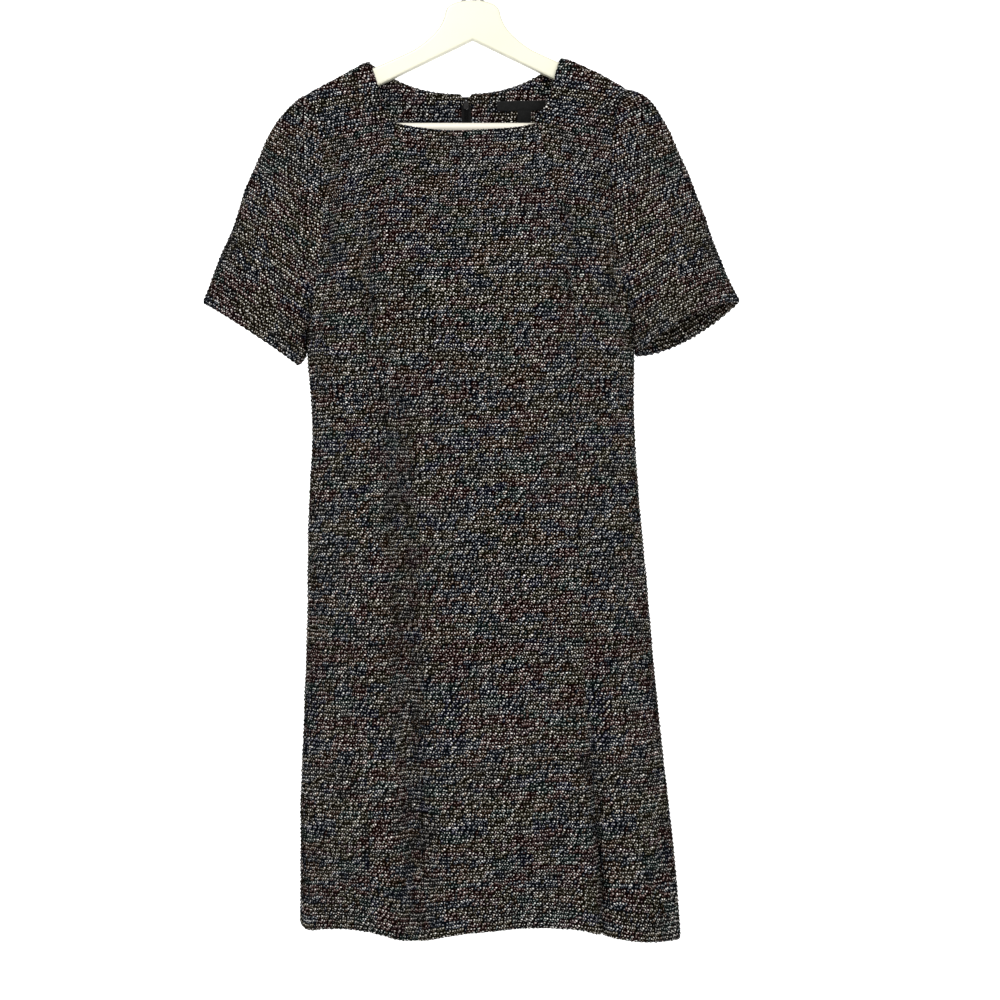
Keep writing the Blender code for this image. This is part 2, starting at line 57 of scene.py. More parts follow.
# ---- the dress's sizes, in millimetres

CLOTH = 2.2
EDGE_DEPTH = 0.05  # what is left of the depth at the side seams
LAYER_GAP = 0.35
FULLNESS = 2.4  # the power of the ovals that the sections are
LEAN = math.radians(1.08)
MIDDLE = -9.0  # the centre line above the underarm
NOTCH_LEVEL = -113.4
NECK = (111.0, -135.5)
SHOULDER = (182.0, -173.0)
UNDERARM = -440.0
NECK_ROUNDING = 1.3  # how far the neck points are rounded down
ROUNDING_REACH = 6.0
SHOULDER_RISE = 2.4  # how far the right shoulder seam arches up
NECK_CORNER = {-1: -210.5, 1: -214.0}
BACK_NECK = -173.4
BACK_NECK_POWER = 2.4
FRONT_NECK_SAG = 8.5
FRONT_NECK_SQUARE = 3.0  # above 2 the sag is flat in the middle
SHOULDER_RAMP = 230.0  # below the shoulder, where the sections reach their full depth

SECTIONS = table(
    "level left right front back",
    (-180, -196, 178, 56, 50), (-330, -196, 178, 58, 50), (-440, -194, 176, 56, 48),
    (-560, -189, 174, 44, 40), (-620, -193.5, 177, 47, 46), (-760, -198.5, 186, 54, 56),
    (-900, -205.5, 197, 58, 60), (-1040, -211.5, 209.5, 60, 62), (-1140, -213.5, 217, 62, 64),
)

PRINCESS = table(
    "level left right",
    (-207, -88, 70), (-250, -96, 80), (-310, -108, 91), (-370, -117, 103), (-450, -124, 109),
    (-560, -123, 107), (-700, -127, 108), (-860, -131, 113), (-960, -132, 119),
    (-1060, -131, 125), (-1140, -131, 126),
)

NECK_SIDE = table(
    "level reach",
    (-135.5, 111), (-150, 105), (-166, 100.5), (-185, 94), (-200, 85), (-207, 79), (-210.5, 79.5),
    (-214.0, 80.5),
)
ARMHOLE = table(
    "level reach",
    (-173, 182), (-188, 175), (-215, 167), (-265, 162), (-330, 164), (-390, 172), (-425, 180),
    (-440, 185),
)

ROLL = table("drop depth", (0, 0), (0.6, 4.2), (2.6, 7.6), (7, 9.6), (20, 11.5))
ROLL_START = 8.0  # above the underarm, where the roll over the shoulder begins
ROLL_BLEND = 100.0

HEM = table(
    "x front back",
    (-216, -1108.5, -1108.5), (-207, -1113.2, -1113.2), (-188, -1111, -1112),
    (-150, -1108.8, -1113.5), (-122, -1113.5, -1116), (-100, -1120.2, -1121),
    (-77, -1125.5, -1125), (-55, -1118.5, -1120), (-33, -1115, -1118), (0, -1112.7, -1116),
    (48, -1109.5, -1119), (78, -1111, -1122.5), (100, -1112.2, -1125.2), (113, -1115.5, -1126.2),
    (123, -1119.6, -1126.3), (128, -1122.4, -1126.2), (136, -1123.3, -1125.8),
    (146, -1125.2, -1125.2), (160, -1128, -1124), (217, -1134, -1134),
)
HEM_LEVEL = -1120.0
HEM_BLEND = 110.0  # how far above the hem its waves begin

FOLD = "x_top x_hem top depth left right"  # the last two are the widths of its flanks
FRONT_FOLDS = table(
    FOLD,
    (-99, -79, -420, -24, 14, 16), (-150, -140, -560, 5, 36, 36), (20, 12, -640, -3, 50, 50),
    (62, 69, -600, -4, 14, 20), (113, 127, -800, -16, 5, 8), (97, 107, -760, 4, 16, 12),
    (158, 176, -740, 5, 30, 30),
)
BACK_FOLDS = table(
    FOLD,
    (-120, -128, -620, -7, 22, 16), (-60, -66, -700, 5, 30, 30), (64, 80, -660, -7, 14, 24),
    (128, 146, -760, 5, 28, 28),
)
FOLD_START = 170.0  # the length over which a fold grows from its top
FOLD_FADE = 6  # the power by which folds fade out towards the outer edge
FRONT_CREASES = table(
    "x1 level1 x2 level2 depth width",
    (-122, -350, -122, -420, -12.0, 8), (107, -330, 106, -410, -11.0, 8),
    (156, -325, 156, -405, -11.0, 7), (162, -425, 170, -460, -8.0, 7),
    (-164, -225, -166, -325, -9.0, 8), (-168, -330, -177, -425, -9.0, 8),
    (-164, -650, -162, -700, -9.0, 9), (-152, -820, -150, -880, -8.0, 9),
)
CREASE_END = 30.0  # how softly a crease ends
(BUST,) = table("reach level depth radius", (102, -372, 9, 62))

RING = "share reach level depth"
SLEEVE_RINGS = {
    -1: table(
        RING,
        (0.0, 182, -173, 28), (0.06, 196.5, -186.5, 29), (0.115, 206.5, -197, 31),
        (0.2, 222, -216, 33), (0.38, 246, -266, 36), (0.58, 264.5, -318, 35),
        (0.79, 284.5, -366, 31), (1.0, 302.5, -403.5, 27),
    ),
    1: table(
        RING,
        (0.0, 182, -173, 28), (0.06, 201, -182.5, 29), (0.115, 211, -191, 31),
        (0.2, 224, -213, 33), (0.38, 245.5, -265, 36), (0.58, 265.5, -318, 35),
        (0.79, 285, -370, 33), (1.0, 304.6, -415.3, 31),
    ),
}
UNDERARM_SLEEVE = (187.0, -440.0)
CUFF_INNER = {-1: (195.0, -477.5), 1: (187.4, -473.5)}
UNDERARM_CURVE = {-1: 7.0, 1: 1.0}
UNDERARM_CLEARANCE = {-1: 0.4, 1: 0.3}
CUFF_TILT = {-1: 1.0, 1: -12.5}
TILT_CURVE = {-1: 0.6, 1: 1.8}  # below 1 the cuff's front and back part quickly at its outer fold

FACING_DEPTH = 52.0
FACING_DROP = 1.2
FACING_REACH = 100.0
FACING_SLIT = 6.2
CORNER_REACH, CORNER_ROUND = 5.0, 8.0  # the facing's top corners beside the slit
SLIT_NOTCH = (5.4, 5.0)  # half width and depth
SLIT_OPENING = (24.0, 8.0, 1.2)  # start below the neck, length of the change, half width
FACING_WALL = 1.4
TAPE_WALL = 0.6
TAPE_WIDTH = 12.0
ZIP_LENGTH = 520.0
LABEL_WALL = 0.5
LABEL = (26.5, 86.0, -181.5, -192.3)  # left, right, top and low
SIZE_TAB = (49.5, 64.5, -192.0, -205.6)
TAPE_TOP = -175.8
TAPE_STRAIGHT = 8.0  # the length at the top where the tapes don't follow the notch
SLIDER_LOW = -187.0
SLIDER_NECK_TOP = -180.6
COIL_PITCH = 1.3
COIL_REACH = (-0.5, 2.1)  # each coil's inner and outer turns, from the centre line
COIL_RADIUS = 0.32
COIL_DEPTH = (0.85, 0.5)  # from the tape to the coil's middle, and each way from there
COIL_STOP = 10.0  # above the zip's lower end
TAPE_GAP = 0.15  # from the centre line
TAPE_LAYER = CLOTH / 2 + LAYER_GAP + TAPE_WALL / 2
FACING_LAYER = TAPE_LAYER + TAPE_WALL / 2 + LAYER_GAP + FACING_WALL / 2
LABEL_LAYER = FACING_LAYER + FACING_WALL / 2 + LAYER_GAP + LABEL_WALL / 2

# The weave: beads stand at every second place of a grid of rows and columns
ROW = 2.35
COLUMN = 1.55
BEAD_HEIGHT = 0.85
SIDE_KNOBS = 1.0  # the beads stand out more where the cloth turns to the back
SEAM_DIP = 0.9
SEAM_DIP_WIDTH = 2.6
SEAM_CALM = 12.0  # ripples fade out over this distance towards a seam
SEAM_REACH = 0.12  # past the seam line, so that panels meet
TURNING = 26.0  # depth of a turned hem
BEAD_RANGE = (0.25, 1.0)
HOLLOW, HOLLOW_RANGE = 0.1, 0.12  # between the beads
DROOP = math.tan(math.radians(9))
DROOP_LEVELS = (-430.0, -230.0)  # the rows droop towards the armholes above the first
BACK_DROOP_START = 60.0
NECK_FADING = (-335.0, -290.0, -246.0)  # the front neck's sag passes down the rows to the first
SETTLING = 12  # rounds that find the weave row through a place


# ---- form of the dress


def smooth(known, values, at):
    """Values on a smooth curve through known places in rising order."""
    known, values = np.array(known, float), np.array(values, float)
    slopes = np.gradient(values, known)
    at = np.clip(at, known[0], known[-1])
    i = np.clip(np.searchsorted(known, at) - 1, 0, len(known) - 2)
    step = known[i + 1] - known[i]
    t = (at - known[i]) / step
    return (
        (2 * t**3 - 3 * t**2 + 1) * values[i]
        + (t**3 - 2 * t**2 + t) * step * slopes[i]
        + (3 * t**2 - 2 * t**3) * values[i + 1]
        + (t**3 - t**2) * step * slopes[i + 1]
    )


def at_level(rows, column, level):
    return smooth([-row.level for row in rows], [getattr(row, column) for row in rows], -level)


def ease(share):
    share = np.clip(share, 0, 1)
    return share * share * (3 - 2 * share)


def centre_at(level):
    middle = (at_level(SECTIONS, "left", level) + at_level(SECTIONS, "right", level)) / 2
    return np.where(level > UNDERARM, MIDDLE, middle)


def reach_at(level):
    return (at_level(SECTIONS, "right", level) - at_level(SECTIONS, "left", level)) / 2


def neck_rounding(reach):
    away = np.abs(np.abs(reach) - NECK[0])
    return NECK_ROUNDING * np.maximum(1 - away / ROUNDING_REACH, 0) ** 2


def shoulder_level(reach):
    """The shoulder seam's level. The reach from the centre line is below zero on the left."""
    length = SHOULDER[0] - NECK[0]
    slope = (SHOULDER[1] - NECK[1]) / length
    beyond = np.abs(reach) - NECK[0]
    share = np.clip(beyond / length, 0, 1)
    arch = np.where(reach > 0, 4 * SHOULDER_RISE * share * (1 - share), 0)
    return NECK[1] + slope * np.maximum(beyond, 0) + arch - neck_rounding(reach)


def fold_depth(folds, x, level):
    total = np.zeros_like(x)
    for fold in folds:
        along = (fold.top - level) / (fold.top - HEM_LEVEL)
        middle = fold.x_top + (fold.x_hem - fold.x_top) * along
        strength = ease((fold.top - level) / FOLD_START)
        width = np.where(x < middle, fold.left, fold.right)
        total += fold.depth * strength * np.exp(-(((x - middle) / width) ** 2))
    return total


def relief(creases, x, level):
    """Soft troughs, below zero, and ridges along short lines."""
    total = np.zeros_like(x)
    for crease in creases:
        line = (crease.x2 - crease.x1, crease.level2 - crease.level1)
        part = (x - crease.x1) * line[0] + (level - crease.level1) * line[1]
        part = np.clip(part / (line[0] ** 2 + line[1] ** 2), 0, 1)
        across = x - crease.x1 - line[0] * part
        along = level - crease.level1 - line[1] * part
        total += crease.depth * np.exp(-((across / crease.width) ** 2) - (along / CREASE_END) ** 2)
    return total


def half_depth(x, level, column):
    """How far the front or back panel lies from the plane of the hanger."""
    share = np.minimum(np.abs(x - centre_at(level)) / reach_at(level), 1)
    lateral = (1 - share**FULLNESS) ** (1 / FULLNESS)
    fall = np.maximum(shoulder_level(x - MIDDLE) - level, 0)
    roll = np.interp(fall, *zip(*ROLL))
    roll = roll * ease((level - UNDERARM - ROLL_START) / ROLL_BLEND)
    full = at_level(SECTIONS, column, level)
    depth = roll + (full - roll) * lateral * ease(fall / SHOULDER_RAMP)
    inner = 1 - share**FOLD_FADE
    folds = FRONT_FOLDS if column == "front" else BACK_FOLDS
    depth = depth + fold_depth(folds, x, level) * inner
    if column == "front":
        depth = depth + relief(FRONT_CREASES, x, level) * inner
        for side in (-1, 1):
            away = np.hypot(x - MIDDLE - side * BUST.reach, level - BUST.level)
            depth = depth + BUST.depth * np.exp(-((away / BUST.radius) ** 2)) * inner
    return np.maximum(depth, EDGE_DEPTH)


def hem_shift(x, level, column):
    share = ease(1 - (level - HEM_LEVEL) / HEM_BLEND)
    hem = smooth([p.x for p in HEM], [getattr(p, column) for p in HEM], x)
    return (hem - HEM_LEVEL) * share


def outer_x(side, level):
    armhole = MIDDLE + side * at_level(ARMHOLE, "reach", level)
    return np.where(level >= UNDERARM, armhole, at_level(SECTIONS, WORD[side], level))


def princess_x(side, level):
    return at_level(PRINCESS, WORD[side], level)


def neck_x(side, level):
    return MIDDLE + side * at_level(NECK_SIDE, "reach", level)


def inner_x(side, level):
    return np.where(level > NECK_CORNER[side], neck_x(side, level), princess_x(side, level))


def back_top_level(reach):
    """The back neck edge, and outside the neck point the shoulder seam."""
    away = np.abs(reach)
    rise = (np.minimum(away, NECK[0]) / NECK[0]) ** BACK_NECK_POWER
    neck = BACK_NECK + (NECK[1] - BACK_NECK) * rise
    return np.where(away > NECK[0], shoulder_level(reach), neck - neck_rounding(reach))


def zip_slit(level):
    """Half the gap at the centre back: open round the slider's neck, and a notch at the top."""
    notch = np.clip((level - BACK_NECK) / SLIT_NOTCH[1] + 1, 0, 1) ** 1.5
    opened = ease((level - BACK_NECK + SLIT_OPENING[0]) / SLIT_OPENING[1])
    return 0.1 + SLIT_OPENING[2] * opened + SLIT_NOTCH[0] * notch


def lean(points):
    """From the dress's own upright axes to where it hangs, in millimetres."""
    turned = points.copy()
    below = points[:, 2] - NOTCH_LEVEL
    turned[:, 0] = points[:, 0] * math.cos(LEAN) - below * math.sin(LEAN)
    turned[:, 2] = NOTCH_LEVEL + points[:, 0] * math.sin(LEAN) + below * math.cos(LEAN)
    return turned


# ---- cloth with a weave

ACROSS = 260  # places across a row where its length is measured
MARGIN = 0.55 * ROW  # between the outline's points and the nearest ones inside


class Form:
    """The form a cut of cloth hangs in. Its places are a, across, and t, the weave row's level."""

    def __init__(self, place, span, grain, low, high):
        self.place = place
        first, last = math.floor(low / ROW) - 1, math.ceil(high / ROW) + 1
        self.numbers = np.arange(first, last + 1)
        self.rows = self.numbers * ROW
        share = (1 - np.cos(np.linspace(0, math.pi, ACROSS))) / 2
        start, end = span(self.rows)
        self.a = start[:, None] + (end - start)[:, None] * share
        t = np.repeat(self.rows[:, None], ACROSS, 1)
        points = place(self.a.ravel(), t.ravel()).reshape(len(self.rows), ACROSS, 3)
        steps = np.linalg.norm(np.diff(points, axis=1), axis=2)
        self.s = np.concatenate([np.zeros((len(self.rows), 1)), np.cumsum(steps, 1)], 1)
        for i, zero in enumerate(grain(self.rows)):
            self.s[i] -= np.interp(zero, self.a[i], self.s[i])

    def along(self, a, t):
        """The distance s along the weave row, from the grain line."""
        place = np.clip((t - self.rows[0]) / ROW, 0, len(self.rows) - 1.001)
        low = place.astype(int)
        part = place - low
        found = np.empty(len(a))
        for i, (row, value) in enumerate(zip(low, a)):
            here = np.interp(value, self.a[row], self.s[row])
            there = np.interp(value, self.a[row + 1], self.s[row + 1])
            found[i] = here + (there - here) * part[i]
        return found

    def lattice(self, step):
        """Places (a, t, s, column, row) on the weave's grid, every so many rows and columns."""
        found = []
        for number, known_a, known_s in zip(self.numbers, self.a, self.s):
            if number % step == 0:
                first = math.ceil(known_s[0] / COLUMN / step) * step
                columns = np.arange(first, known_s[-1] / COLUMN, step)
                s, row = columns * COLUMN, np.full(len(columns), float(number))
                a = np.interp(s, known_s, known_a)
                found.append(np.stack([a, row * ROW, s, columns, row], 1))
        return np.concatenate(found)


Side = namedtuple("Side", "path free")  # path(q) gives a and t for q from 0 to 1
WALK = 1600  # places along a side where its length is measured


def walk_outline(form, sides):
    """Points round a cut's outline: arrays of a, t and whether the edge is free."""
    found = []
    for side in sides:
        q = np.linspace(0, 1, WALK)
        steps = np.linalg.norm(np.diff(form.place(*side.path(q)), axis=0), axis=1)
        length = np.concatenate([[0], np.cumsum(steps)])
        count = max(int(round(length[-1] / ROW)), 1)
        places = np.linspace(0, length[-1], count + 1)[:-1]
        a, t = side.path(np.interp(places, length, q))
        found.append(np.stack([a, t, np.full(len(a), float(side.free))], 1))
    return np.concatenate(found)


def distance_to(places, marked):
    """From each place to the nearest marked one, in the plane of s and t."""
    if not len(marked):
        return np.full(len(places), 1e3)
    tree = KDTree(len(marked))
    for i, (s, t) in enumerate(marked):
        tree.insert((s, t, 0), i)
    tree.balance()
    return np.array([tree.find((s, t, 0))[2] for s, t in places])


def cut_triangles(outline, inside):
    """Triangles over the cut in the plane of s and t. The outline's points come first."""
    keep = np.flatnonzero(distance_to(inside, outline) > MARGIN)
    points = [Vector(p) for p in (*outline, *inside[keep])]
    count = len(outline)
    edges = [(i, (i + 1) % count) for i in range(count)]
    _, _, faces, origins, _, _ = delaunay_2d_cdt(points, edges, [], 1, 1e-5)
    if not all(origins):
        raise ValueError("an outline crosses itself")
    triangles = np.array([o[0] for o in origins])[np.array(faces)]
    used = np.unique(triangles)
    kept = np.concatenate([np.arange(count), used[used >= count]])
    renumber = np.full(len(points), -1)
    renumber[kept] = np.arange(len(kept))
    return renumber[triangles], keep[kept[count:] - count]


def normals_of(points, triangles):
    a, b, c = points[triangles[:, 0]], points[triangles[:, 1]], points[triangles[:, 2]]
    faces = np.cross(b - a, c - a)
    total = np.zeros_like(points)
    for k in range(3):
        np.add.at(total, triangles[:, k], faces)
    return total / np.maximum(np.linalg.norm(total, axis=1), 1e-12)[:, None]


SIDE_DEPTH = 20.0  # from the plane of the hanger to where the ripples are all front or all back
CALM_NECK = -255.0  # ripples fade out above here on the back
RIPPLES = (  # wavelength along x, along z, phase, height
    (190.0, 260.0, 0.4, 0.9), (118.0, -340.0, 2.1, 0.7), (73.0, 150.0, 4.0, 0.45),
    (-95.0, 61.0, 1.2, 0.35),
)


def ripple(points):
    """Slight unevenness, the same on both sides of a seam."""
    total = np.zeros(len(points))
    side = np.clip(points[:, 1] / SIDE_DEPTH, -1, 1) * 0.9
    for wave_x, wave_z, phase, height in RIPPLES:
        angle = points[:, 0] / wave_x + points[:, 2] / wave_z
        total += height * np.sin(2 * math.pi * angle + phase + side)
    behind_neck = ease(points[:, 1] / 10) * ease((points[:, 2] - CALM_NECK) / 30)
    return total * (1 - behind_neck)


NOSE = (45.0, 90.0, 135.0)  # degrees round a free edge, from the outside to the inside
Layer = namedtuple("Layer", "points normals flat faces raised")
Bumps = namedtuple("Bumps", "height pitch")  # of the beads along a free edge
HEM_BUMPS, CUFF_BUMPS = Bumps(0.6, 5.6), Bumps(1.1, 7.0)
PITCH_CHANGE, HEIGHT_CHANGE = 17, 41  # how slowly the bumps change along the edge


def link(name, data):
    made = bpy.data.objects.new(name, data)
    bpy.context.scene.collection.objects.link(made)
    return made


def hand_mesh(name, points, faces, uv, finish):
    mesh = bpy.data.meshes.new(name)
    mesh.from_pydata(points * MM, [], faces)
    layer = mesh.uv_layers.new(name="weave")
    corners = np.empty(len(mesh.loops), np.int32)
    mesh.loops.foreach_get("vertex_index", corners)
    layer.data.foreach_set("uv", (uv[corners] * MM).ravel())
    mesh.shade_smooth()
    mesh.materials.append(finish)
    return link(name, mesh)


def sew(
    name, form, sides, outward, finish, seed,
    wall=CLOTH, turned=0.0, beads=1.0, rippled=1.0, bumps=HEM_BUMPS,
):
    """A closed shell of cloth: beaded outside, plain inside, with rounded free edges.

    turned is how much thicker the cloth is where a free edge is folded to the inside.
    """
    edge = walk_outline(form, sides)
    outline = np.stack([form.along(edge[:, 0], edge[:, 1]), edge[:, 1]], 1)
    free, count = edge[:, 2] > 0.5, len(edge)
    rng = np.random.default_rng(seed)
    layers = []
    for step in (1, 2):
        grid = form.lattice(step)
        faces, kept = cut_triangles(outline, grid[:, [2, 1]])
        grid = grid[kept]
        flat = np.concatenate([outline, grid[:, [2, 1]]])
        points = form.place(*np.concatenate([edge[:, :2], grid[:, :2]]).T)
        normals = normals_of(points, faces)
        sign = 1 if (normals * outward(points)).sum() > 0 else -1
        normals = normals * sign
        away = distance_to(flat, outline[~free])
        points = points + normals * (ripple(points) * ease(away / SEAM_CALM) * rippled)[:, None]
        if step == 1:
            height = wall / 2 - SEAM_DIP * np.exp(-((away / SEAM_DIP_WIDTH) ** 2)) * (wall > 2)
            bead = np.full(len(points), -HOLLOW)
            odd = (grid[:, 3] % 2 == 1) & (grid[:, 4] % 2 == 1)
            knob = BEAD_HEIGHT * (1 + SIDE_KNOBS * np.abs(normals[count:, 0]) ** 4)
            bead[count:][odd] = knob[odd] * rng.uniform(*BEAD_RANGE, odd.sum())
            bead[count:][~odd] += rng.uniform(-HOLLOW_RANGE, HOLLOW_RANGE, (~odd).sum())
            height = height + bead * beads
        else:
            fold = ease(1 - distance_to(flat, outline[free]) / TURNING)
            height = -wall / 2 - turned * fold
        raised = points + normals * height[:, None]
        layers.append(Layer(points, normals, flat, faces[:, ::sign], raised))
    outer, inner = layers

    around, before = np.roll(np.arange(count), -1), np.roll(np.arange(count), 1)
    ring = outer.points[:count]
    turn = (outline[:, 0] * outline[around, 1] - outline[:, 1] * outline[around, 0]).sum()
    winding = 1 if turn > 0 else -1
    beyond = np.cross(ring[around] - ring[before], outer.normals[:count]) * winding * sign
    beyond /= np.linalg.norm(beyond, axis=1)[:, None]
    across = outline[around] - outline[before]
    beyond_flat = np.stack([across[:, 1], -across[:, 0]], 1) * winding
    beyond_flat /= np.maximum(np.linalg.norm(beyond_flat, axis=1), 1e-9)[:, None]

    top, bottom = outer.raised[:count], inner.raised[:count]
    middle, half = (top + bottom) / 2, (top - bottom) / 2
    thick = np.linalg.norm(half, axis=1)
    reach = np.where(free, thick * 0.9, SEAM_REACH)[:, None]
    points, uvs = [outer.raised, inner.raised], [outer.flat, inner.flat]
    along = np.cumsum(np.linalg.norm(ring[around] - ring, axis=1))[:, None]
    swell = np.sin(2 * math.pi * along / bumps.pitch + 2 * np.sin(along / PITCH_CHANGE))
    swell = swell * (0.7 + 0.3 * np.sin(along / HEIGHT_CHANGE))
    swell = bumps.height * (swell + rng.uniform(-0.2, 0.2, (count, 1)))
    for angle in np.radians(NOSE):
        jitter = (swell + rng.uniform(-0.2, 0.3, (count, 1))) * free[:, None] * beads
        nose = half * math.cos(angle) + beyond * (reach + jitter) * math.sin(angle)
        points.append(middle + nose)
        uvs.append(outline + beyond_flat * (thick * angle)[:, None])
    starts = np.cumsum([0] + [len(p) for p in points])
    faces = [outer.faces, inner.faces[:, ::-1] + starts[1]]
    order = [0, *starts[2:-1], starts[1]]
    for first, second in zip(order, order[1:]):
        upper, lower = first + np.arange(count), second + np.arange(count)
        quads = np.stack([upper, lower, lower[around], upper[around]], 1)[:, :: winding * sign]
        faces += [quads[:, [0, 1, 2]], quads[:, [0, 2, 3]]]
    points = lean(np.concatenate(points))
    made = hand_mesh(name, points, np.concatenate(faces), np.concatenate(uvs), finish)
    return made, tuple(np.ptp(outline, axis=0) * MM), abs(turn) / 2 * MM * MM


# ---- the cuts


def droop_at(t):
    return DROOP * ease((t - DROOP_LEVELS[0]) / (DROOP_LEVELS[1] - DROOP_LEVELS[0]))


def torso_form(column, drop, span, grain, high):
    def place(x, t):
        level = t - drop(x, t)
        sign = -1 if column == "front" else 1
        y = sign * half_depth(x, level, column)
        return np.stack([x, y, level + hem_shift(x, level, column)], 1)

    return Form(place, span, grain, HEM_LEVEL, high)


def from_axis(points):
    """Outwards from the middle of the dress."""
    out = points.copy()
    out[:, 0] -= centre_at(points[:, 2])
    out[:, 2] = 0
    return out


def towards_front(points):
    return np.tile((0.0, -1.0, 0.0), (len(points), 1))


def even(value):
    """The same value everywhere."""
    return lambda at: value + 0.0 * at


def no_drop(x, t):
    return 0.0 * x


class Sides(list):
    """The sides of a cut, in turn, where the weave rows drop by drop(x, t)."""

    def __init__(self, drop=no_drop):
        self.drop = drop

    def add(self, path, free):
        self.append(Side(path, free))

    def row(self, x, level):
        """The weave row that passes a place."""
        t = level + 0.0 * x
        for _ in range(SETTLING):
            t = level + self.drop(x, t)
        return t

    def upright(self, x_at, start, end, free=False):
        """From one level to another at x_at(level)."""

        def path(q):
            level = start + (end - start) * q
            x = x_at(level) + 0.0 * level
            return x, self.row(x, level)

        self.add(path, free)

    def over(self, start, end, level_at, free=False):
        """From one x to another at level_at(x)."""

        def path(q):
            x = start + (end - start) * q
            return x, self.row(x, level_at(x))

        self.add(path, free)

    def hem(self, start_at, end_at):
        self.over(start_at(HEM_LEVEL), end_at(HEM_LEVEL), even(HEM_LEVEL), True)

    def outside(self, side, inner):
        """A side panel's shoulder, outer edge and hem, up to inner(level)."""
        neck, shoulder = (MIDDLE + side * p[0] for p in (NECK, SHOULDER))
        self.over(neck, shoulder, edge_level)
        self.upright(partial(outer_x, side), SHOULDER[1], HEM_LEVEL)
        self.hem(partial(outer_x, side), inner)


def edge_level(x):
    return back_top_level(x - MIDDLE)


def half_span(side, inner, drop):
    """Where a side panel's weave rows start and end, between inner(t) and its outer edge."""

    def span(t):
        outer = outer_x(side, t)
        for _ in range(SETTLING):
            outer = outer_x(side, t - drop(outer, t))
        return (inner(t), outer)[::side]

    return span


def front_centre():
    corner = NECK_CORNER[-1]
    left, right = partial(princess_x, -1), partial(princess_x, 1)

    def drop(x, t):
        share = (x - left(t)) / (right(t) - left(t))
        fading = np.interp(t, (*NECK_FADING, corner), (0, 1 / 3, 2 / 3, 1))
        sag = FRONT_NECK_SAG * (1 - np.abs(2 * share - 1) ** FRONT_NECK_SQUARE)
        return (sag + (corner - NECK_CORNER[1]) * share) * fading

    def neck(q):
        return right(corner) + (left(corner) - right(corner)) * q, np.full(len(q), corner)

    form = torso_form("front", drop, lambda t: (left(t), right(t)), centre_at, corner)
    sides = Sides(drop)
    sides.add(neck, True)
    sides.upright(left, corner, HEM_LEVEL)
    sides.hem(left, right)
    sides.upright(right, HEM_LEVEL, NECK_CORNER[1])
    return form, sides, from_axis


def front_side(side):
    inner = partial(inner_x, side)

    def drop(x, t):
        return droop_at(t) * np.maximum(side * (x - inner(t)), 0)

    span = half_span(side, lambda t: inner(np.minimum(t, NECK[1])), drop)
    form = torso_form("front", drop, span, lambda t: sum(span(t)) / 2, NECK[1])
    corner = NECK_CORNER[side]
    sides = Sides(drop)
    sides.outside(side, inner)
    sides.upright(partial(princess_x, side), HEM_LEVEL, corner)
    sides.upright(partial(neck_x, side), corner, NECK[1] - NECK_ROUNDING, True)
    return form, sides, from_axis


def back(side):
    def drop(x, t):
        return droop_at(t) * np.maximum(side * (x - MIDDLE) - BACK_DROOP_START, 0)

    def start_x(t):
        return centre_at(t) + side * zip_slit(t)

    form = torso_form("back", drop, half_span(side, start_x, drop), start_x, NECK[1])
    sides = Sides(drop)
    sides.over(start_x(BACK_NECK), MIDDLE + side * NECK[0], edge_level, True)
    sides.outside(side, start_x)
    sides.upright(start_x, HEM_LEVEL, BACK_NECK)
    return form, sides, from_axis


def inside_back(x, level, layer):
    """Points on a layer that lies inside the back."""
    level = level + 0.0 * x
    return np.stack([x, half_depth(x, level, "back") - layer, level], 1)


def inside_cut(layer, start, end, top, low, side=1):
    """A cut inside the back, from start(level) to end(level) and between top(x) and low(x).

    side is -1 where it runs from start to the left.
    """
    start_top, start_low = top(start(0.0)), low(start(0.0))
    end_top, end_low = top(end(0.0)), low(end(0.0))

    def span(t):
        return (start(t), end(t))[::side]

    form = Form(lambda x, t: inside_back(x, t, layer), span, start, start_low, end_top)
    sides = Sides()
    sides.over(start(start_top), end(end_top), top, True)
    sides.upright(end, end_top, end_low, True)
    sides.over(end(end_low), start(start_low), low, True)
    sides.upright(start, start_low, start_top, True)
    return form, sides, towards_front


def facing(side):
    def top_level(x):
        corner = np.maximum(FACING_SLIT + CORNER_REACH - np.abs(x - MIDDLE), 0)
        return edge_level(x) - FACING_DROP - corner**2 / CORNER_ROUND

    def low_level(x):
        return edge_level(x) - FACING_DROP - FACING_DEPTH

    near, far = (even(MIDDLE + side * reach) for reach in (FACING_SLIT, FACING_REACH))
    return inside_cut(FACING_LAYER, near, far, top_level, low_level, side)


CUFF_TIP = {-1: (302.5, -404.0), 1: (304.6, -415.3)}
CUFF_BOW = {-1: 2.4, 1: 0.0}  # how far the cuff's line arches up between its ends
SLEEVE_SHARES = np.concatenate([[-0.35, -0.15, -0.05], np.linspace(0, 1, 51), [1.1]])
TURNS = 360  # places round the sleeve in its table of rows
SLEEVE_SLANT = 30.0  # how far the sleeve's middle moves sideways from its cap to its cuff
STEEP = 0.05  # the share of the armhole's depth over which its edge leaves the plane of the hanger
UNDERARM_SHARE = (0.75, 0.08)  # where the underarm starts round the sleeve, and from the armhole


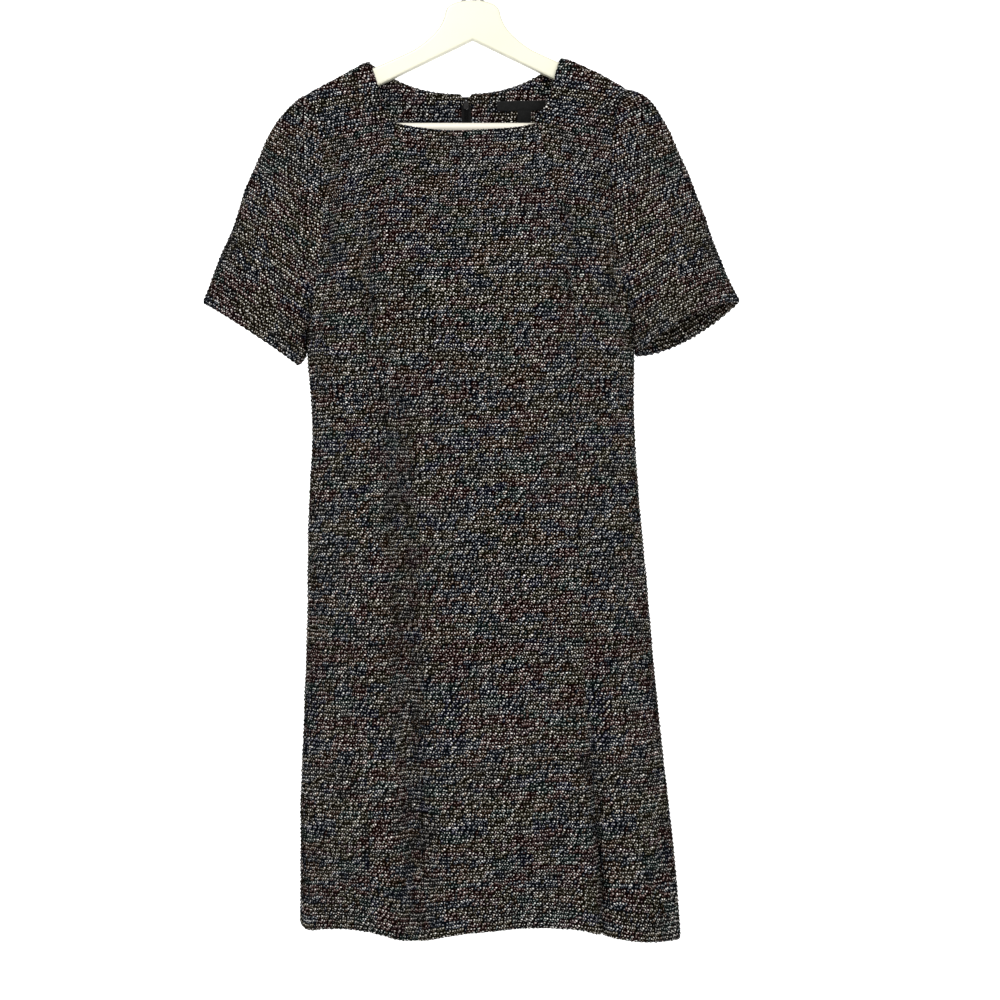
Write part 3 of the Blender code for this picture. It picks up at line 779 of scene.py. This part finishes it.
def sleeve_point(side, share, angle, tilted=True):
    """A point of the sleeve: share runs from the armhole to the cuff, angle from the top edge."""
    rings = SLEEVE_RINGS[side]
    shares = [ring.share for ring in rings]
    reach, level, depth = (smooth(shares, [r[k] for r in rings], share) for k in (1, 2, 3))
    along, across = (1 - np.cos(angle)) / 2, np.sin(angle)
    bent = np.maximum(share, 0) ** UNDERARM_CURVE[side]
    inner_reach = UNDERARM_SLEEVE[0] + (CUFF_INNER[side][0] - UNDERARM_SLEEVE[0]) * bent
    inner_level = UNDERARM_SLEEVE[1] + (CUFF_INNER[side][1] - UNDERARM_SLEEVE[1]) * share
    radial = reach + (inner_reach - reach) * along
    z = level + (inner_level - level) * along
    y = across * depth
    keep = (1 - share) ** 2
    hole_level = SHOULDER[1] + (UNDERARM - SHOULDER[1]) * along
    hole_reach = at_level(ARMHOLE, "reach", hole_level)
    hole_x = MIDDLE + side * hole_reach
    front, rear = half_depth(hole_x, hole_level, "front"), half_depth(hole_x, hole_level, "back")
    hole_y = np.where(across < 0, -front, rear) * ease(np.abs(across) / STEEP)
    first = rings[0]
    plain_reach = first.reach + (UNDERARM_SLEEVE[0] - first.reach) * along
    plain_level = first.level + (UNDERARM_SLEEVE[1] - first.level) * along
    radial = radial + (hole_reach - plain_reach) * keep
    z = z + (hole_level - plain_level) * keep
    y = y + (hole_y - across * first.depth) * keep
    low, start = UNDERARM_SHARE
    near_underarm = ease((along - low) / (1 - low)) * (1 - share) * ease(share / start)
    radial = radial + UNDERARM_CLEARANCE[side] * near_underarm
    if tilted:
        parting = np.sign(across) * np.abs(across) ** TILT_CURVE[side]
        z = z + parting * CUFF_TILT[side] * share**2
    return np.stack([MIDDLE + side * radial, y, z], -1)


def sleeve_any(side, share, angle, tilted=True):
    """The same, carried on in straight lines beyond the armhole and the cuff."""

    def at(value):
        return sleeve_point(side, np.full_like(share, value), angle, tilted)

    small = 0.02
    before = np.minimum(share, 0)[..., None] / small
    past = np.maximum(share - 1, 0)[..., None] / small
    point = sleeve_point(side, np.clip(share, 0, 1), angle, tilted)
    return point + (at(small) - at(0)) * before + (at(1) - at(1 - small)) * past


def sleeve_row(side, points):
    """The weave row through points: how far they are from the cuff's line."""
    tip, inner = CUFF_TIP[side], CUFF_INNER[side]
    across, rise = tip[0] - inner[0], tip[1] - inner[1]
    reach = side * (points[..., 0] - MIDDLE) - inner[0]
    bow = CUFF_BOW[side] * np.maximum(1 - (2 * reach / across - 1) ** 2, -0.5)
    return (-reach * rise + (points[..., 2] - inner[1]) * across) / math.hypot(across, rise) - bow


def sleeve(side):
    turns = np.linspace(-math.pi, math.pi, TURNS + 1)
    shares, angles = np.meshgrid(SLEEVE_SHARES, turns)
    known = sleeve_row(side, sleeve_any(side, shares, angles, False))

    def place(angle, t):
        turn = np.clip((angle / math.pi + 1) / 2, 0, 1) * (TURNS - 0.001)
        low = turn.astype(int)
        part = (turn - low)[:, None]
        rows = known[low] * (1 - part) + known[low + 1] * part
        index = np.clip((rows > t[:, None]).sum(1) - 1, 0, len(SLEEVE_SHARES) - 2)
        pick = np.arange(len(angle))
        before, after = rows[pick, index], rows[pick, index + 1]
        part = (before - t) / np.where(np.abs(before - after) < 1e-9, 1e-9, before - after)
        share = SLEEVE_SHARES[index] + (SLEEVE_SHARES[index + 1] - SLEEVE_SHARES[index]) * part
        return sleeve_any(side, share, angle)

    def cap(q):
        angle = math.pi * (1 - 2 * q)
        return angle, sleeve_row(side, sleeve_point(side, np.zeros(len(q)), angle, False))

    cap_end, cap_top = cap(np.array([0.0, 0.5]))[1]
    low, middle = CUFF_TIP[side][1], sleeve_point(side, np.array([0.5]), np.array([math.pi / 2]))[0]

    def outward(points):
        out = points.copy()
        share = np.clip((low - points[:, 2]) / (low - SHOULDER[1]), 0, 1)
        out[:, 0] -= middle[0] + side * SLEEVE_SLANT * (0.5 - share)
        out[:, 2] = 0
        return out

    form = Form(place, lambda t: (even(-math.pi)(t), even(math.pi)(t)), even(0.0), 0.0, cap_top)
    sides = Sides()
    sides.add(cap, False)
    sides.upright(even(-math.pi), cap_end, 0.0)
    sides.over(-math.pi, math.pi, even(0.0), True)
    sides.upright(even(math.pi), 0.0, cap_end)
    return form, sides, outward


def zip_tape(side):
    def near(level):
        parted = zip_slit(np.minimum(level, TAPE_TOP - TAPE_STRAIGHT))
        parted = parted * (1 - ease(level - SLIDER_NECK_TOP))
        return centre_at(level) + side * (TAPE_GAP + parted)

    def far(level):
        return near(level) + side * TAPE_WIDTH

    low = BACK_NECK - ZIP_LENGTH
    return inside_cut(TAPE_LAYER, *(near, far)[::side], even(TAPE_TOP), even(low))


def coil_path(side):
    """One side of the zip's coil: flattened turns, hooked into those of the other side."""
    count = int((SLIDER_LOW - BACK_NECK + ZIP_LENGTH - COIL_STOP) / COIL_PITCH)
    turn = np.linspace(0, count, count * 8 + 1)
    level = SLIDER_LOW - (turn + (0.5 if side > 0 else 0.0)) * COIL_PITCH
    angle = 2 * math.pi * turn
    middle, reach = sum(COIL_REACH) / 2, (COIL_REACH[1] - COIL_REACH[0]) / 2
    x = centre_at(level) + side * (middle + reach * np.cos(angle))
    depth = COIL_DEPTH[0] + COIL_DEPTH[1] * np.sin(angle)
    return inside_back(x, level, TAPE_LAYER + TAPE_WALL / 2 + depth)


# ---- hanger

HANGER_HALF_THICK = 6.0
HANGER_NOTCH = -114.0
HANGER_ROUNDING = 2.6
ROUNDING_STEPS = 5
ARM_SLOPE = 0.483
LOBE_REACH, LOBE_LEVEL = 185.0, -222.0  # the arm's lower end
TIP_ARCS = (((186, -197), 14, 62, 0, 8), ((192, -214), 8, 0, -90, 7))
HANGER_TOP = (  # along the top of the right half, from the middle of the domed head
    (0, -69.2), (8, -69.5), (15.5, -70.6), (23.4, -73.4), (28.6, -77.4), (30.8, -82.2),
    (31.9, -87.0), (33.8, -92.0), (36.4, -97.6), (40.4, -103.2), (45.0, -108.4), (50.2, -113.2),
    (56.0, -118.0), (61.6, -122.0), (68.0, -126.0), (80.6, -131.9), (92.0, -137.1),
    (104.5, -142.6), (117.0, -148.2), (130.0, -153.4), (150.0, -161.9), (165.0, -169.4),
    (180.0, -177.6),
)


def arc(centre, radius, start, end, steps):
    angles = np.radians(np.linspace(start, end, steps + 1))
    return np.stack([centre[0] + radius * np.cos(angles), centre[1] + radius * np.sin(angles)], 1)


def hanger_outline():
    """Round the plate in the plane of X and Z: over the top to the right, and back by the notch."""
    known = np.array(HANGER_TOP, float)
    place = np.arange(len(known))
    fine = np.linspace(0, len(known) - 1, 5 * len(known))
    top = np.stack([smooth(place, known[:, 0], fine), smooth(place, known[:, 1], fine)], 1)
    low = np.linspace(LOBE_REACH, 0, 40)
    half = np.concatenate([
        top,
        arc(*TIP_ARCS[0]),
        arc(*TIP_ARCS[1]),
        [(LOBE_REACH, LOBE_LEVEL)],
        np.stack([low, HANGER_NOTCH - ARM_SLOPE * low], 1),
    ])
    other = half[1:-1][::-1] * (-1, 1)
    return np.concatenate([half, other])


def inset_by(outline, amount):
    """The outline moved inwards, with mitred corners. It runs clockwise."""
    before, after = np.roll(outline, 1, axis=0), np.roll(outline, -1, axis=0)
    edges = [b - a for a, b in ((before, outline), (outline, after))]
    inward = [np.stack([e[:, 1], -e[:, 0]], 1) / np.linalg.norm(e, axis=1)[:, None] for e in edges]
    both = inward[0] + inward[1]
    return outline + both * (2 * amount / np.maximum((both**2).sum(1), 0.6))[:, None]


def plate_rings(outline, half_thick, rounding):
    """Rings round a flat plate with rounded edges, from its front to its back."""
    angles = np.radians(np.linspace(0, 90, ROUNDING_STEPS + 1))
    insets = rounding * np.append(1 - np.cos(angles), 1.3)
    depths = np.append(half_thick - rounding + rounding * np.sin(angles), half_thick)
    rings = []
    for inset, y in [*zip(insets[::-1], -depths[::-1]), *zip(insets, depths)]:
        ring = inset_by(outline, inset)
        rings.append(np.stack([ring[:, 0], np.full(len(ring), y), ring[:, 1]], 1))
    return np.concatenate(rings)


def loft(name, points, sides, flat, finish):
    """A closed solid through rings of so many points each."""
    last = len(points) - sides
    faces = [tuple(range(sides)), tuple(range(last, len(points)))]
    for start in range(0, last, sides):
        for i in range(sides):
            j = (i + 1) % sides
            faces.append((start + i, start + j, start + sides + j, start + sides + i))
    made = hand_mesh(name, points, faces, flat, finish)
    work = bmesh.new()
    work.from_mesh(made.data)
    bmesh.ops.recalc_face_normals(work, faces=work.faces)
    work.to_mesh(made.data)
    work.free()
    return made


def tube(name, path, radius, finish, sides=6):
    """A round wire along a path, closed at its ends."""
    along = np.gradient(path, axis=0)
    along /= np.linalg.norm(along, axis=1)[:, None]
    first = np.cross(along, (0.0, 0.0, 1.0))
    first /= np.maximum(np.linalg.norm(first, axis=1), 1e-6)[:, None]
    second = np.cross(along, first)
    turns = 2 * math.pi * np.arange(sides) / sides
    ring = first[:, None] * np.cos(turns)[:, None] + second[:, None] * np.sin(turns)[:, None]
    points = (path[:, None] + radius * ring).reshape(-1, 3)
    return loft(name, lean(points), sides, points[:, [0, 2]], finish)


COLLAR = (  # radius and level up the hook's foot
    (13.4, -70.6), (13.4, -69.0), (12.6, -68.4), (6.0, -67.2), (3.2, -66.0), (2.6, -63.5),
    (2.0, -61.5), (1.7, -61.0),
)
COLLAR_SQUASH = 0.40  # from front to back, at its widest


def collar(name, finish, turns=48):
    """The oval plate and ferrule at the hook's foot."""
    angles = 2 * math.pi * np.arange(turns) / turns
    rings = []
    for radius, level in COLLAR:
        x, y = radius * np.cos(angles), radius * np.sin(angles)
        squash = COLLAR_SQUASH + (1 - COLLAR_SQUASH) * ease((8 - radius) / 6)
        rings.append(np.stack([x, squash * y, np.full(turns, level)], 1))
    points = np.concatenate(rings)
    return loft(name, points, turns, points[:, :2], finish)


# ---- materials


def new_material(name):
    made = bpy.data.materials.new(name)
    made.use_nodes = True
    made.node_tree.nodes.clear()
    return made, Nodes(made.node_tree)


class Nodes:
    """Short calls for making and joining shader nodes."""

    def __init__(self, tree):
        self.tree = tree

    def add(self, kind, inputs, **settings):
        node = self.tree.nodes.new("ShaderNode" + kind)
        for key, value in settings.items():
            setattr(node, key, value)
        for key, value in inputs.items():
            if isinstance(value, bpy.types.NodeSocket):
                self.tree.links.new(value, node.inputs[key])
            else:
                node.inputs[key].default_value = value
        return node

    def math(self, operation, *values):
        return self.add("Math", dict(enumerate(values)), operation=operation).outputs[0]

    def vector_math(self, operation, *values):
        return self.add("VectorMath", dict(enumerate(values)), operation=operation).outputs[0]

    def scaled(self, vector, scale):
        return self.vector_math("MULTIPLY", vector, scale)

    def noise(self, vector, scale, detail=2.0, rough=0.5, output="Fac"):
        inputs = {"Vector": vector, "Scale": scale, "Detail": detail, "Roughness": rough}
        return self.add("TexNoise", inputs).outputs[output]

    def spots(self, vector, randomness=1.0):
        """Scattered points: each place's nearest one, and three random numbers that go with it."""
        inputs = {"Vector": vector, "Scale": 1.0, "Randomness": randomness}
        found = self.add("TexVoronoi", inputs, voronoi_dimensions="2D").outputs
        return found["Position"], self.add("SeparateColor", {0: found["Color"]}).outputs

    def between(self, value, low, high, to_low=0.0, to_high=1.0, kind="SMOOTHSTEP"):
        inputs = {0: value, 1: low, 2: high, 3: to_low, 4: to_high}
        return self.add("MapRange", inputs, interpolation_type=kind).outputs[0]

    def evenly(self, value, to_low, to_high, low=0.0, high=1.0):
        return self.between(value, low, high, to_low, to_high, "LINEAR")

    def ramp(self, value, stops, kind="LINEAR"):
        node = self.add("ValToRGB", {0: value})
        node.color_ramp.interpolation = kind
        elements = node.color_ramp.elements
        while len(elements) < len(stops):
            elements.new(1.0)
        for element, (at, colour) in zip(elements, stops):
            element.position = at
            element.color = (*colour, 1.0)
        return node.outputs[0]

    def mix(self, share, first, second, blend="MIX"):
        inputs = {0: share, 6: first, 7: second}
        return self.add("Mix", inputs, data_type="RGBA", blend_type=blend).outputs[2]

    def shade(self, colour, roughness, bump=None, strength=1.0, distance=0.001, **others):
        inputs = {"Base Color": colour, "Roughness": roughness}
        inputs.update((key.replace("_", " "), value) for key, value in others.items())
        if bump is not None:
            lift = {"Height": bump, "Strength": strength, "Distance": distance}
            inputs["Normal"] = self.add("Bump", lift).outputs[0]
        shader = self.add("BsdfPrincipled", inputs)
        self.add("OutputMaterial", {"Surface": shader.outputs[0]})


def grey(value):
    return (value, value, value)


# Colours of the yarns' space-dyed runs, and how often each comes up
DYES = table(
    "share colour",
    (0.21, (0.52, 0.50, 0.46)), (0.17, (0.69, 0.185, 0.145)), (0.15, (0.25, 0.38, 0.61)),
    (0.13, (0.70, 0.54, 0.26)), (0.09, (0.24, 0.53, 0.48)), (0.09, (0.60, 0.51, 0.20)),
    (0.07, (0.77, 0.36, 0.13)), (0.05, (0.21, 0.25, 0.60)), (0.04, (0.72, 0.32, 0.37)),
)
NUBS = table(  # the rows' own nubs, then the duller ones between them
    "over down jitter small large stretch curve dull bright",
    (0.0, 0.0, 0.39, 0.68, 1.09, 1.5, 1.10, 0.47, 1.66),
    (0.4, 0.5, 0.60, 0.50, 1.00, 1.5, 1.4, 0.045, 0.77),
)
RUN = (0.13, 0.5, 0.0)  # runs of one dye, as parts of a run for each nub across and down
STRAY = 0.11  # share of the nubs that have a dye of their own
WANDERS = ((0.11, (2.4, 0.5, 0.0)), (0.8, (0.9, 0.12, 0.0)))  # scale and amount of the rows' wandering
GROUND_LIGHT = 0.018
PALE = (0.805, 0.780, 0.742, 1.0)  # the light yarn


def jolt(n, vector, scale, amount):
    """A vector moved about at random by up to half the amount each way."""
    noise = n.noise(vector, scale, 1.0, output="Color")
    centred = n.vector_math("SUBTRACT", noise, (0.5, 0.5, 0.5))
    return n.vector_math("ADD", vector, n.scaled(centred, amount))


def nub_layer(n, cells, kind):
    """One scatter of nubs: how far each place is inside one, its light, its middle and its luck."""
    shift = kind.jitter / 2 - 0.5
    place = n.vector_math("ADD", cells, (shift + kind.over, shift + kind.down, 0.0))
    middle, luck = n.spots(place, kind.jitter)
    away = n.scaled(n.vector_math("SUBTRACT", place, middle), (2 * COLUMN, 2 * ROW, 0.0))
    turn = {"Vector": away, "Angle": n.math("MULTIPLY", luck[2], math.pi)}
    turned = n.add("VectorRotate", turn, rotation_type="Z_AXIS").outputs[0]
    squeeze = n.add("CombineXYZ", {0: 1.0, 1: n.evenly(luck[0], 1.0, kind.stretch), 2: 0.0})
    narrowed = n.scaled(turned, squeeze.outputs[0])
    length = n.add("VectorMath", {0: narrowed}, operation="LENGTH").outputs["Value"]
    size = n.evenly(luck[1], kind.small, kind.large)
    inside = n.between(n.math("DIVIDE", length, size), 0.5, 1.15, 1.0, 0.0)
    chance = n.math("POWER", n.math("FRACT", n.math("MULTIPLY", luck[1], 7.31)), kind.curve)
    stray = n.math("FRACT", n.math("MULTIPLY", luck[2], 5.17))
    return inside, n.evenly(chance, kind.dull, kind.bright), middle, stray


def tweed():
    """Boucle: rows of light nubs over dark yarns, in short runs of changing colour."""
    made, n = new_material("boucle_tweed")
    uv = n.add("UVMap", {}, uv_map="weave").outputs[0]
    cells = n.scaled(uv, (1 / (2 * COLUMN * MM), 1 / (2 * ROW * MM), 0.0))
    for scale, amount in WANDERS:
        cells = jolt(n, cells, scale, amount)
    curl = n.noise(cells, 1.7, 3.0, 0.65)
    fibre = n.noise(cells, 5.0, 2.0, 0.6)

    shares = np.cumsum([0.0] + [dye.share for dye in DYES])
    stops = [(share, dye.colour) for share, dye in zip(shares, DYES)]
    layers = []
    for kind in NUBS:
        inside, light, middle, stray = nub_layer(n, cells, kind)
        at = jolt(n, n.scaled(middle, RUN), 2.0, (0.8, 0.8, 0.0))
        run = n.spots(at)[1][0]
        own = n.math("DIVIDE", stray, STRAY)
        chosen = n.evenly(n.math("LESS_THAN", own, 1.0), run, own)
        layers.append((inside, light, n.ramp(chosen, stops, "CONSTANT")))

    colour = n.mix(1.0, layers[0][2], n.evenly(curl, 0.0, GROUND_LIGHT, 0.35, 0.72), "MULTIPLY")
    ragged = n.evenly(curl, 0.65, 1.0, 0.25, 0.50)
    for inside, light, dye in reversed(layers):
        paling = n.evenly(n.math("POWER", light, 0.5), 0.10, 0.92, 0.0, 1.15)
        nub = n.mix(1.0, n.mix(paling, dye, PALE), light, "MULTIPLY")
        colour = n.mix(n.math("MULTIPLY", inside, ragged), colour, nub)
    colour = n.mix(1.0, colour, n.evenly(fibre, 0.34, 1.27, 0.3, 0.7), "MULTIPLY")
    height = n.math("ADD", n.math("MULTIPLY", layers[0][0], 0.8), n.math("MULTIPLY", fibre, 0.35))
    n.shade(colour, 0.95, height, 0.7, 0.0008, Specular_IOR_Level=0.0)
    return made


def woven_black(name, deep, pale):
    """Fine ribs on black: the damask-woven labels, and the tapes."""
    made, n = new_material(name)
    uv = n.add("UVMap", {}, uv_map="weave").outputs[0]
    checked = {"Vector": n.scaled(uv, (1 / 0.0006, 1 / 0.0005, 0.0)), "Scale": 1.0}
    checks = n.add("TexChecker", {**checked, "Color1": (1, 1, 1, 1), "Color2": (0, 0, 0, 1)})
    worn = n.noise(uv, 160.0, 3.0)
    colour = n.ramp(worn, [(0.3, grey(deep)), (0.7, grey(pale))])
    rough = n.evenly(worn, 0.5, 0.65, 0.3, 0.7)
    n.shade(colour, rough, checks.outputs["Fac"], 0.5, 0.0002, Specular_IOR_Level=0.12)
    return made


def hard_finish(name, stretch, colours, rough, bump, detail=(3.0, 0.5), clouds=None, **others):
    """A fine grain in roughness, bump and colour. Clouds, where given, take over the colour."""
    made, n = new_material(name)
    at = n.add("TexCoord", {}).outputs["Object"]
    grain = n.noise(n.scaled(at, stretch), 1.0, *detail)
    shown = n.noise(at, clouds) if clouds else grain
    rough = n.evenly(grain, *rough, 0.3, 0.7)
    n.shade(n.ramp(shown, colours), rough, grain, *bump, **others)
    return made


def painted_wood(name, deep, pale):
    """Cream paint over close-grained wood, a little uneven."""
    return hard_finish(
        name, (14.0, 60.0, 90.0), [(0.35, deep), (0.65, pale)], (0.30, 0.42), (0.12, 0.0004),
        detail=(5.0, 0.6), clouds=9.0, Coat_Weight=0.2, Coat_Roughness=0.25,
    )


def steel():
    return hard_finish(
        "hook_steel", (900.0, 900.0, 60.0), [(0.3, (0.50, 0.47, 0.43)), (0.7, (0.62, 0.60, 0.56))],
        (0.22, 0.36), (0.1, 0.0002), Metallic=1.0,
    )


def zip_metal():
    return hard_finish(
        "zip_metal", (700.0, 700.0, 700.0),
        [(0.35, (0.014, 0.013, 0.013)), (0.7, (0.030, 0.028, 0.028))],
        (0.50, 0.64), (0.1, 0.0002), Specular_IOR_Level=0.12,
    )


STAGE_GLOW = 0.66


def stage_white():
    """Plain white, lit a little from behind at the far side."""
    made, n = new_material("stage_white")
    at = n.add("TexCoord", {}).outputs["Object"]
    colour = n.ramp(n.noise(at, 0.7), [(0.4, grey(0.92)), (0.6, grey(0.94))])
    behind = n.between(n.add("SeparateXYZ", {0: at}).outputs[1], -0.6, 1.0, 0.0, STAGE_GLOW)
    n.shade(colour, 0.9, Emission_Color=(1, 1, 1, 1), Emission_Strength=behind)
    return made


# ---- pieces

CLOTH_SEED, FACING_SEED, TRIM_SEED = 11, 31, 50


def belong(piece, node=None):
    """Ties a piece to its body and hides any CAD node that it stands for."""
    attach(piece, BODY)
    if node:
        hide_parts(node)


def hang(node, cut, finish, slot, seed, rests_on, **how):
    piece, flat, area = sew(f"{node}_cloth", *cut, finish, seed, **how)
    belong(piece, node)


def build_cloth():
    cloth, slot = tweed(), "boucle_tweed"
    cuts = [("front_centre", front_centre())]
    for side, word in WORD.items():
        cuts.append((f"front_side_{word}", front_side(side)))
        cuts.append((f"back_{word}", back(side)))
        cuts.append((f"sleeve_{word}", sleeve(side)))
    for number, (node, cut) in enumerate(cuts):
        bumps = CUFF_BUMPS if node.startswith("sleeve") else HEM_BUMPS
        hang(node, cut, cloth, slot, CLOTH_SEED + number, "hanger_body", turned=1.6, bumps=bumps)
    for side, word in WORD.items():
        hang(
            f"neck_facing_{word}", facing(side), cloth, slot, FACING_SEED + side,
            f"back_{word}_cloth", wall=FACING_WALL, beads=0.7, rippled=0.0,
        )


def build_trims():
    """Zip tapes, coils and the two labels inside the back."""
    black, tape = woven_black("woven_black", 0.005, 0.011), woven_black("zip_tape", 0.003, 0.008)
    label, size_tab = (inside_cut(LABEL_LAYER, *map(even, place)) for place in (LABEL, SIZE_TAB))
    strips = table(
        "node cut wall finish slot rests_on",
        ("zip_tape_left", zip_tape(-1), TAPE_WALL, tape, "zip_tape", "back_left_cloth"),
        ("zip_tape_right", zip_tape(1), TAPE_WALL, tape, "zip_tape", "back_right_cloth"),
        ("neck_label", label, LABEL_WALL, black, "woven_black", "back_right_cloth"),
        ("size_tab", size_tab, LABEL_WALL, black, "woven_black", "back_right_cloth"),
    )
    for seed, row in enumerate(strips, TRIM_SEED):
        how = {"wall": row.wall, "beads": 0.0, "rippled": 0.0}
        hang(row.node, row.cut, row.finish, row.slot, seed, row.rests_on, **how)
    for side, word in WORD.items():
        belong(tube(f"zip_coil_{word}", coil_path(side), COIL_RADIUS, tape))


def build_hanger():
    paint = painted_wood("painted_wood", (0.80, 0.785, 0.62), (0.84, 0.825, 0.66))
    outline = hanger_outline()
    points = plate_rings(outline, HANGER_HALF_THICK, HANGER_ROUNDING)
    body = loft("hanger_plate", points, len(outline), points[:, [0, 2]], paint)
    belong(body, "hanger_body")
    belong(collar("hook_collar", steel()))


def give(node, finish):
    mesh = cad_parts[node].data
    mesh.materials.clear()
    mesh.materials.append(finish)


def dress_nodes():
    # The bar gets a lighter copy of the plate's cream paint. This is painted light that makes up for
    # the shade the bar lies in inside the neck; the real bar has the same paint as the plate.
    give("hanger_bar", painted_wood("bar_paint_with_painted_light", (0.97, 0.91, 0.78), (0.99, 0.94, 0.82)))
    give("hanger_hook", bpy.data.materials["hook_steel"])
    metal = zip_metal()
    give("zip_slider", metal)
    give("zip_pull_tab", metal)


# ---- stage, light and camera

CAMERA_DISTANCE = 2.4
FRAME_WIDTH = 1.135
FRAME_CENTRE = (0.031, -0.6355)
SENSOR = 36.0
WORLD_LIGHT = 0.30
LAMP_AIM = (0, 0, -0.6)
LAMPS = table(
    "name place size power",
    ("key", (-0.9, -2.8, 1.3), 1.0, 66.0),
    ("fill", (1.6, -2.9, 0.2), 1.6, 40.0),
)


def build_stage():
    """A floor that bends up into a wall behind the dress."""
    floor, near, wall, top, bend, half, steps = -1.45, -7.0, 4.2, 6.0, 1.6, 7.0, 24
    angles = math.pi / 2 * np.arange(steps + 1) / steps
    turn = zip(wall - bend + bend * np.sin(angles), floor + bend - bend * np.cos(angles))
    profile = [(near, floor), *turn, (wall, top)]
    points = [(x, y, z) for x in (-half, half) for y, z in profile]
    count = len(profile)
    faces = [(k, count + k, count + k + 1, k + 1) for k in range(count - 1)]
    mesh = bpy.data.meshes.new("backdrop")
    mesh.from_pydata(points, [], faces)
    mesh.shade_smooth()
    mesh.materials.append(stage_white())
    backdrop = link("backdrop", mesh)


def build_lights():
    world = bpy.data.worlds.new("studio")
    world.use_nodes = True
    background = world.node_tree.nodes["Background"].inputs
    background["Color"].default_value = (1, 1, 1, 1)
    background["Strength"].default_value = WORLD_LIGHT
    bpy.context.scene.world = world
    for lamp in LAMPS:
        data = bpy.data.lights.new(lamp.name, "AREA")
        data.size, data.energy = lamp.size, lamp.power
        made = link(lamp.name, data)
        made.location = lamp.place
        aim = Vector(LAMP_AIM) - Vector(lamp.place)
        made.rotation_euler = aim.to_track_quat("-Z", "Y").to_euler()


def build_camera():
    data = bpy.data.cameras.new("camera")
    data.sensor_width = SENSOR
    data.lens = SENSOR * CAMERA_DISTANCE / FRAME_WIDTH
    camera = link("camera", data)
    camera.location = (FRAME_CENTRE[0], -CAMERA_DISTANCE, FRAME_CENTRE[1])
    camera.rotation_euler = (math.pi / 2, 0, 0)
    bpy.context.scene.camera = camera


build_cloth()
build_trims()
build_hanger()
dress_nodes()
build_stage()
build_lights()
build_camera()
bpy.context.scene.view_settings.view_transform = "Standard"
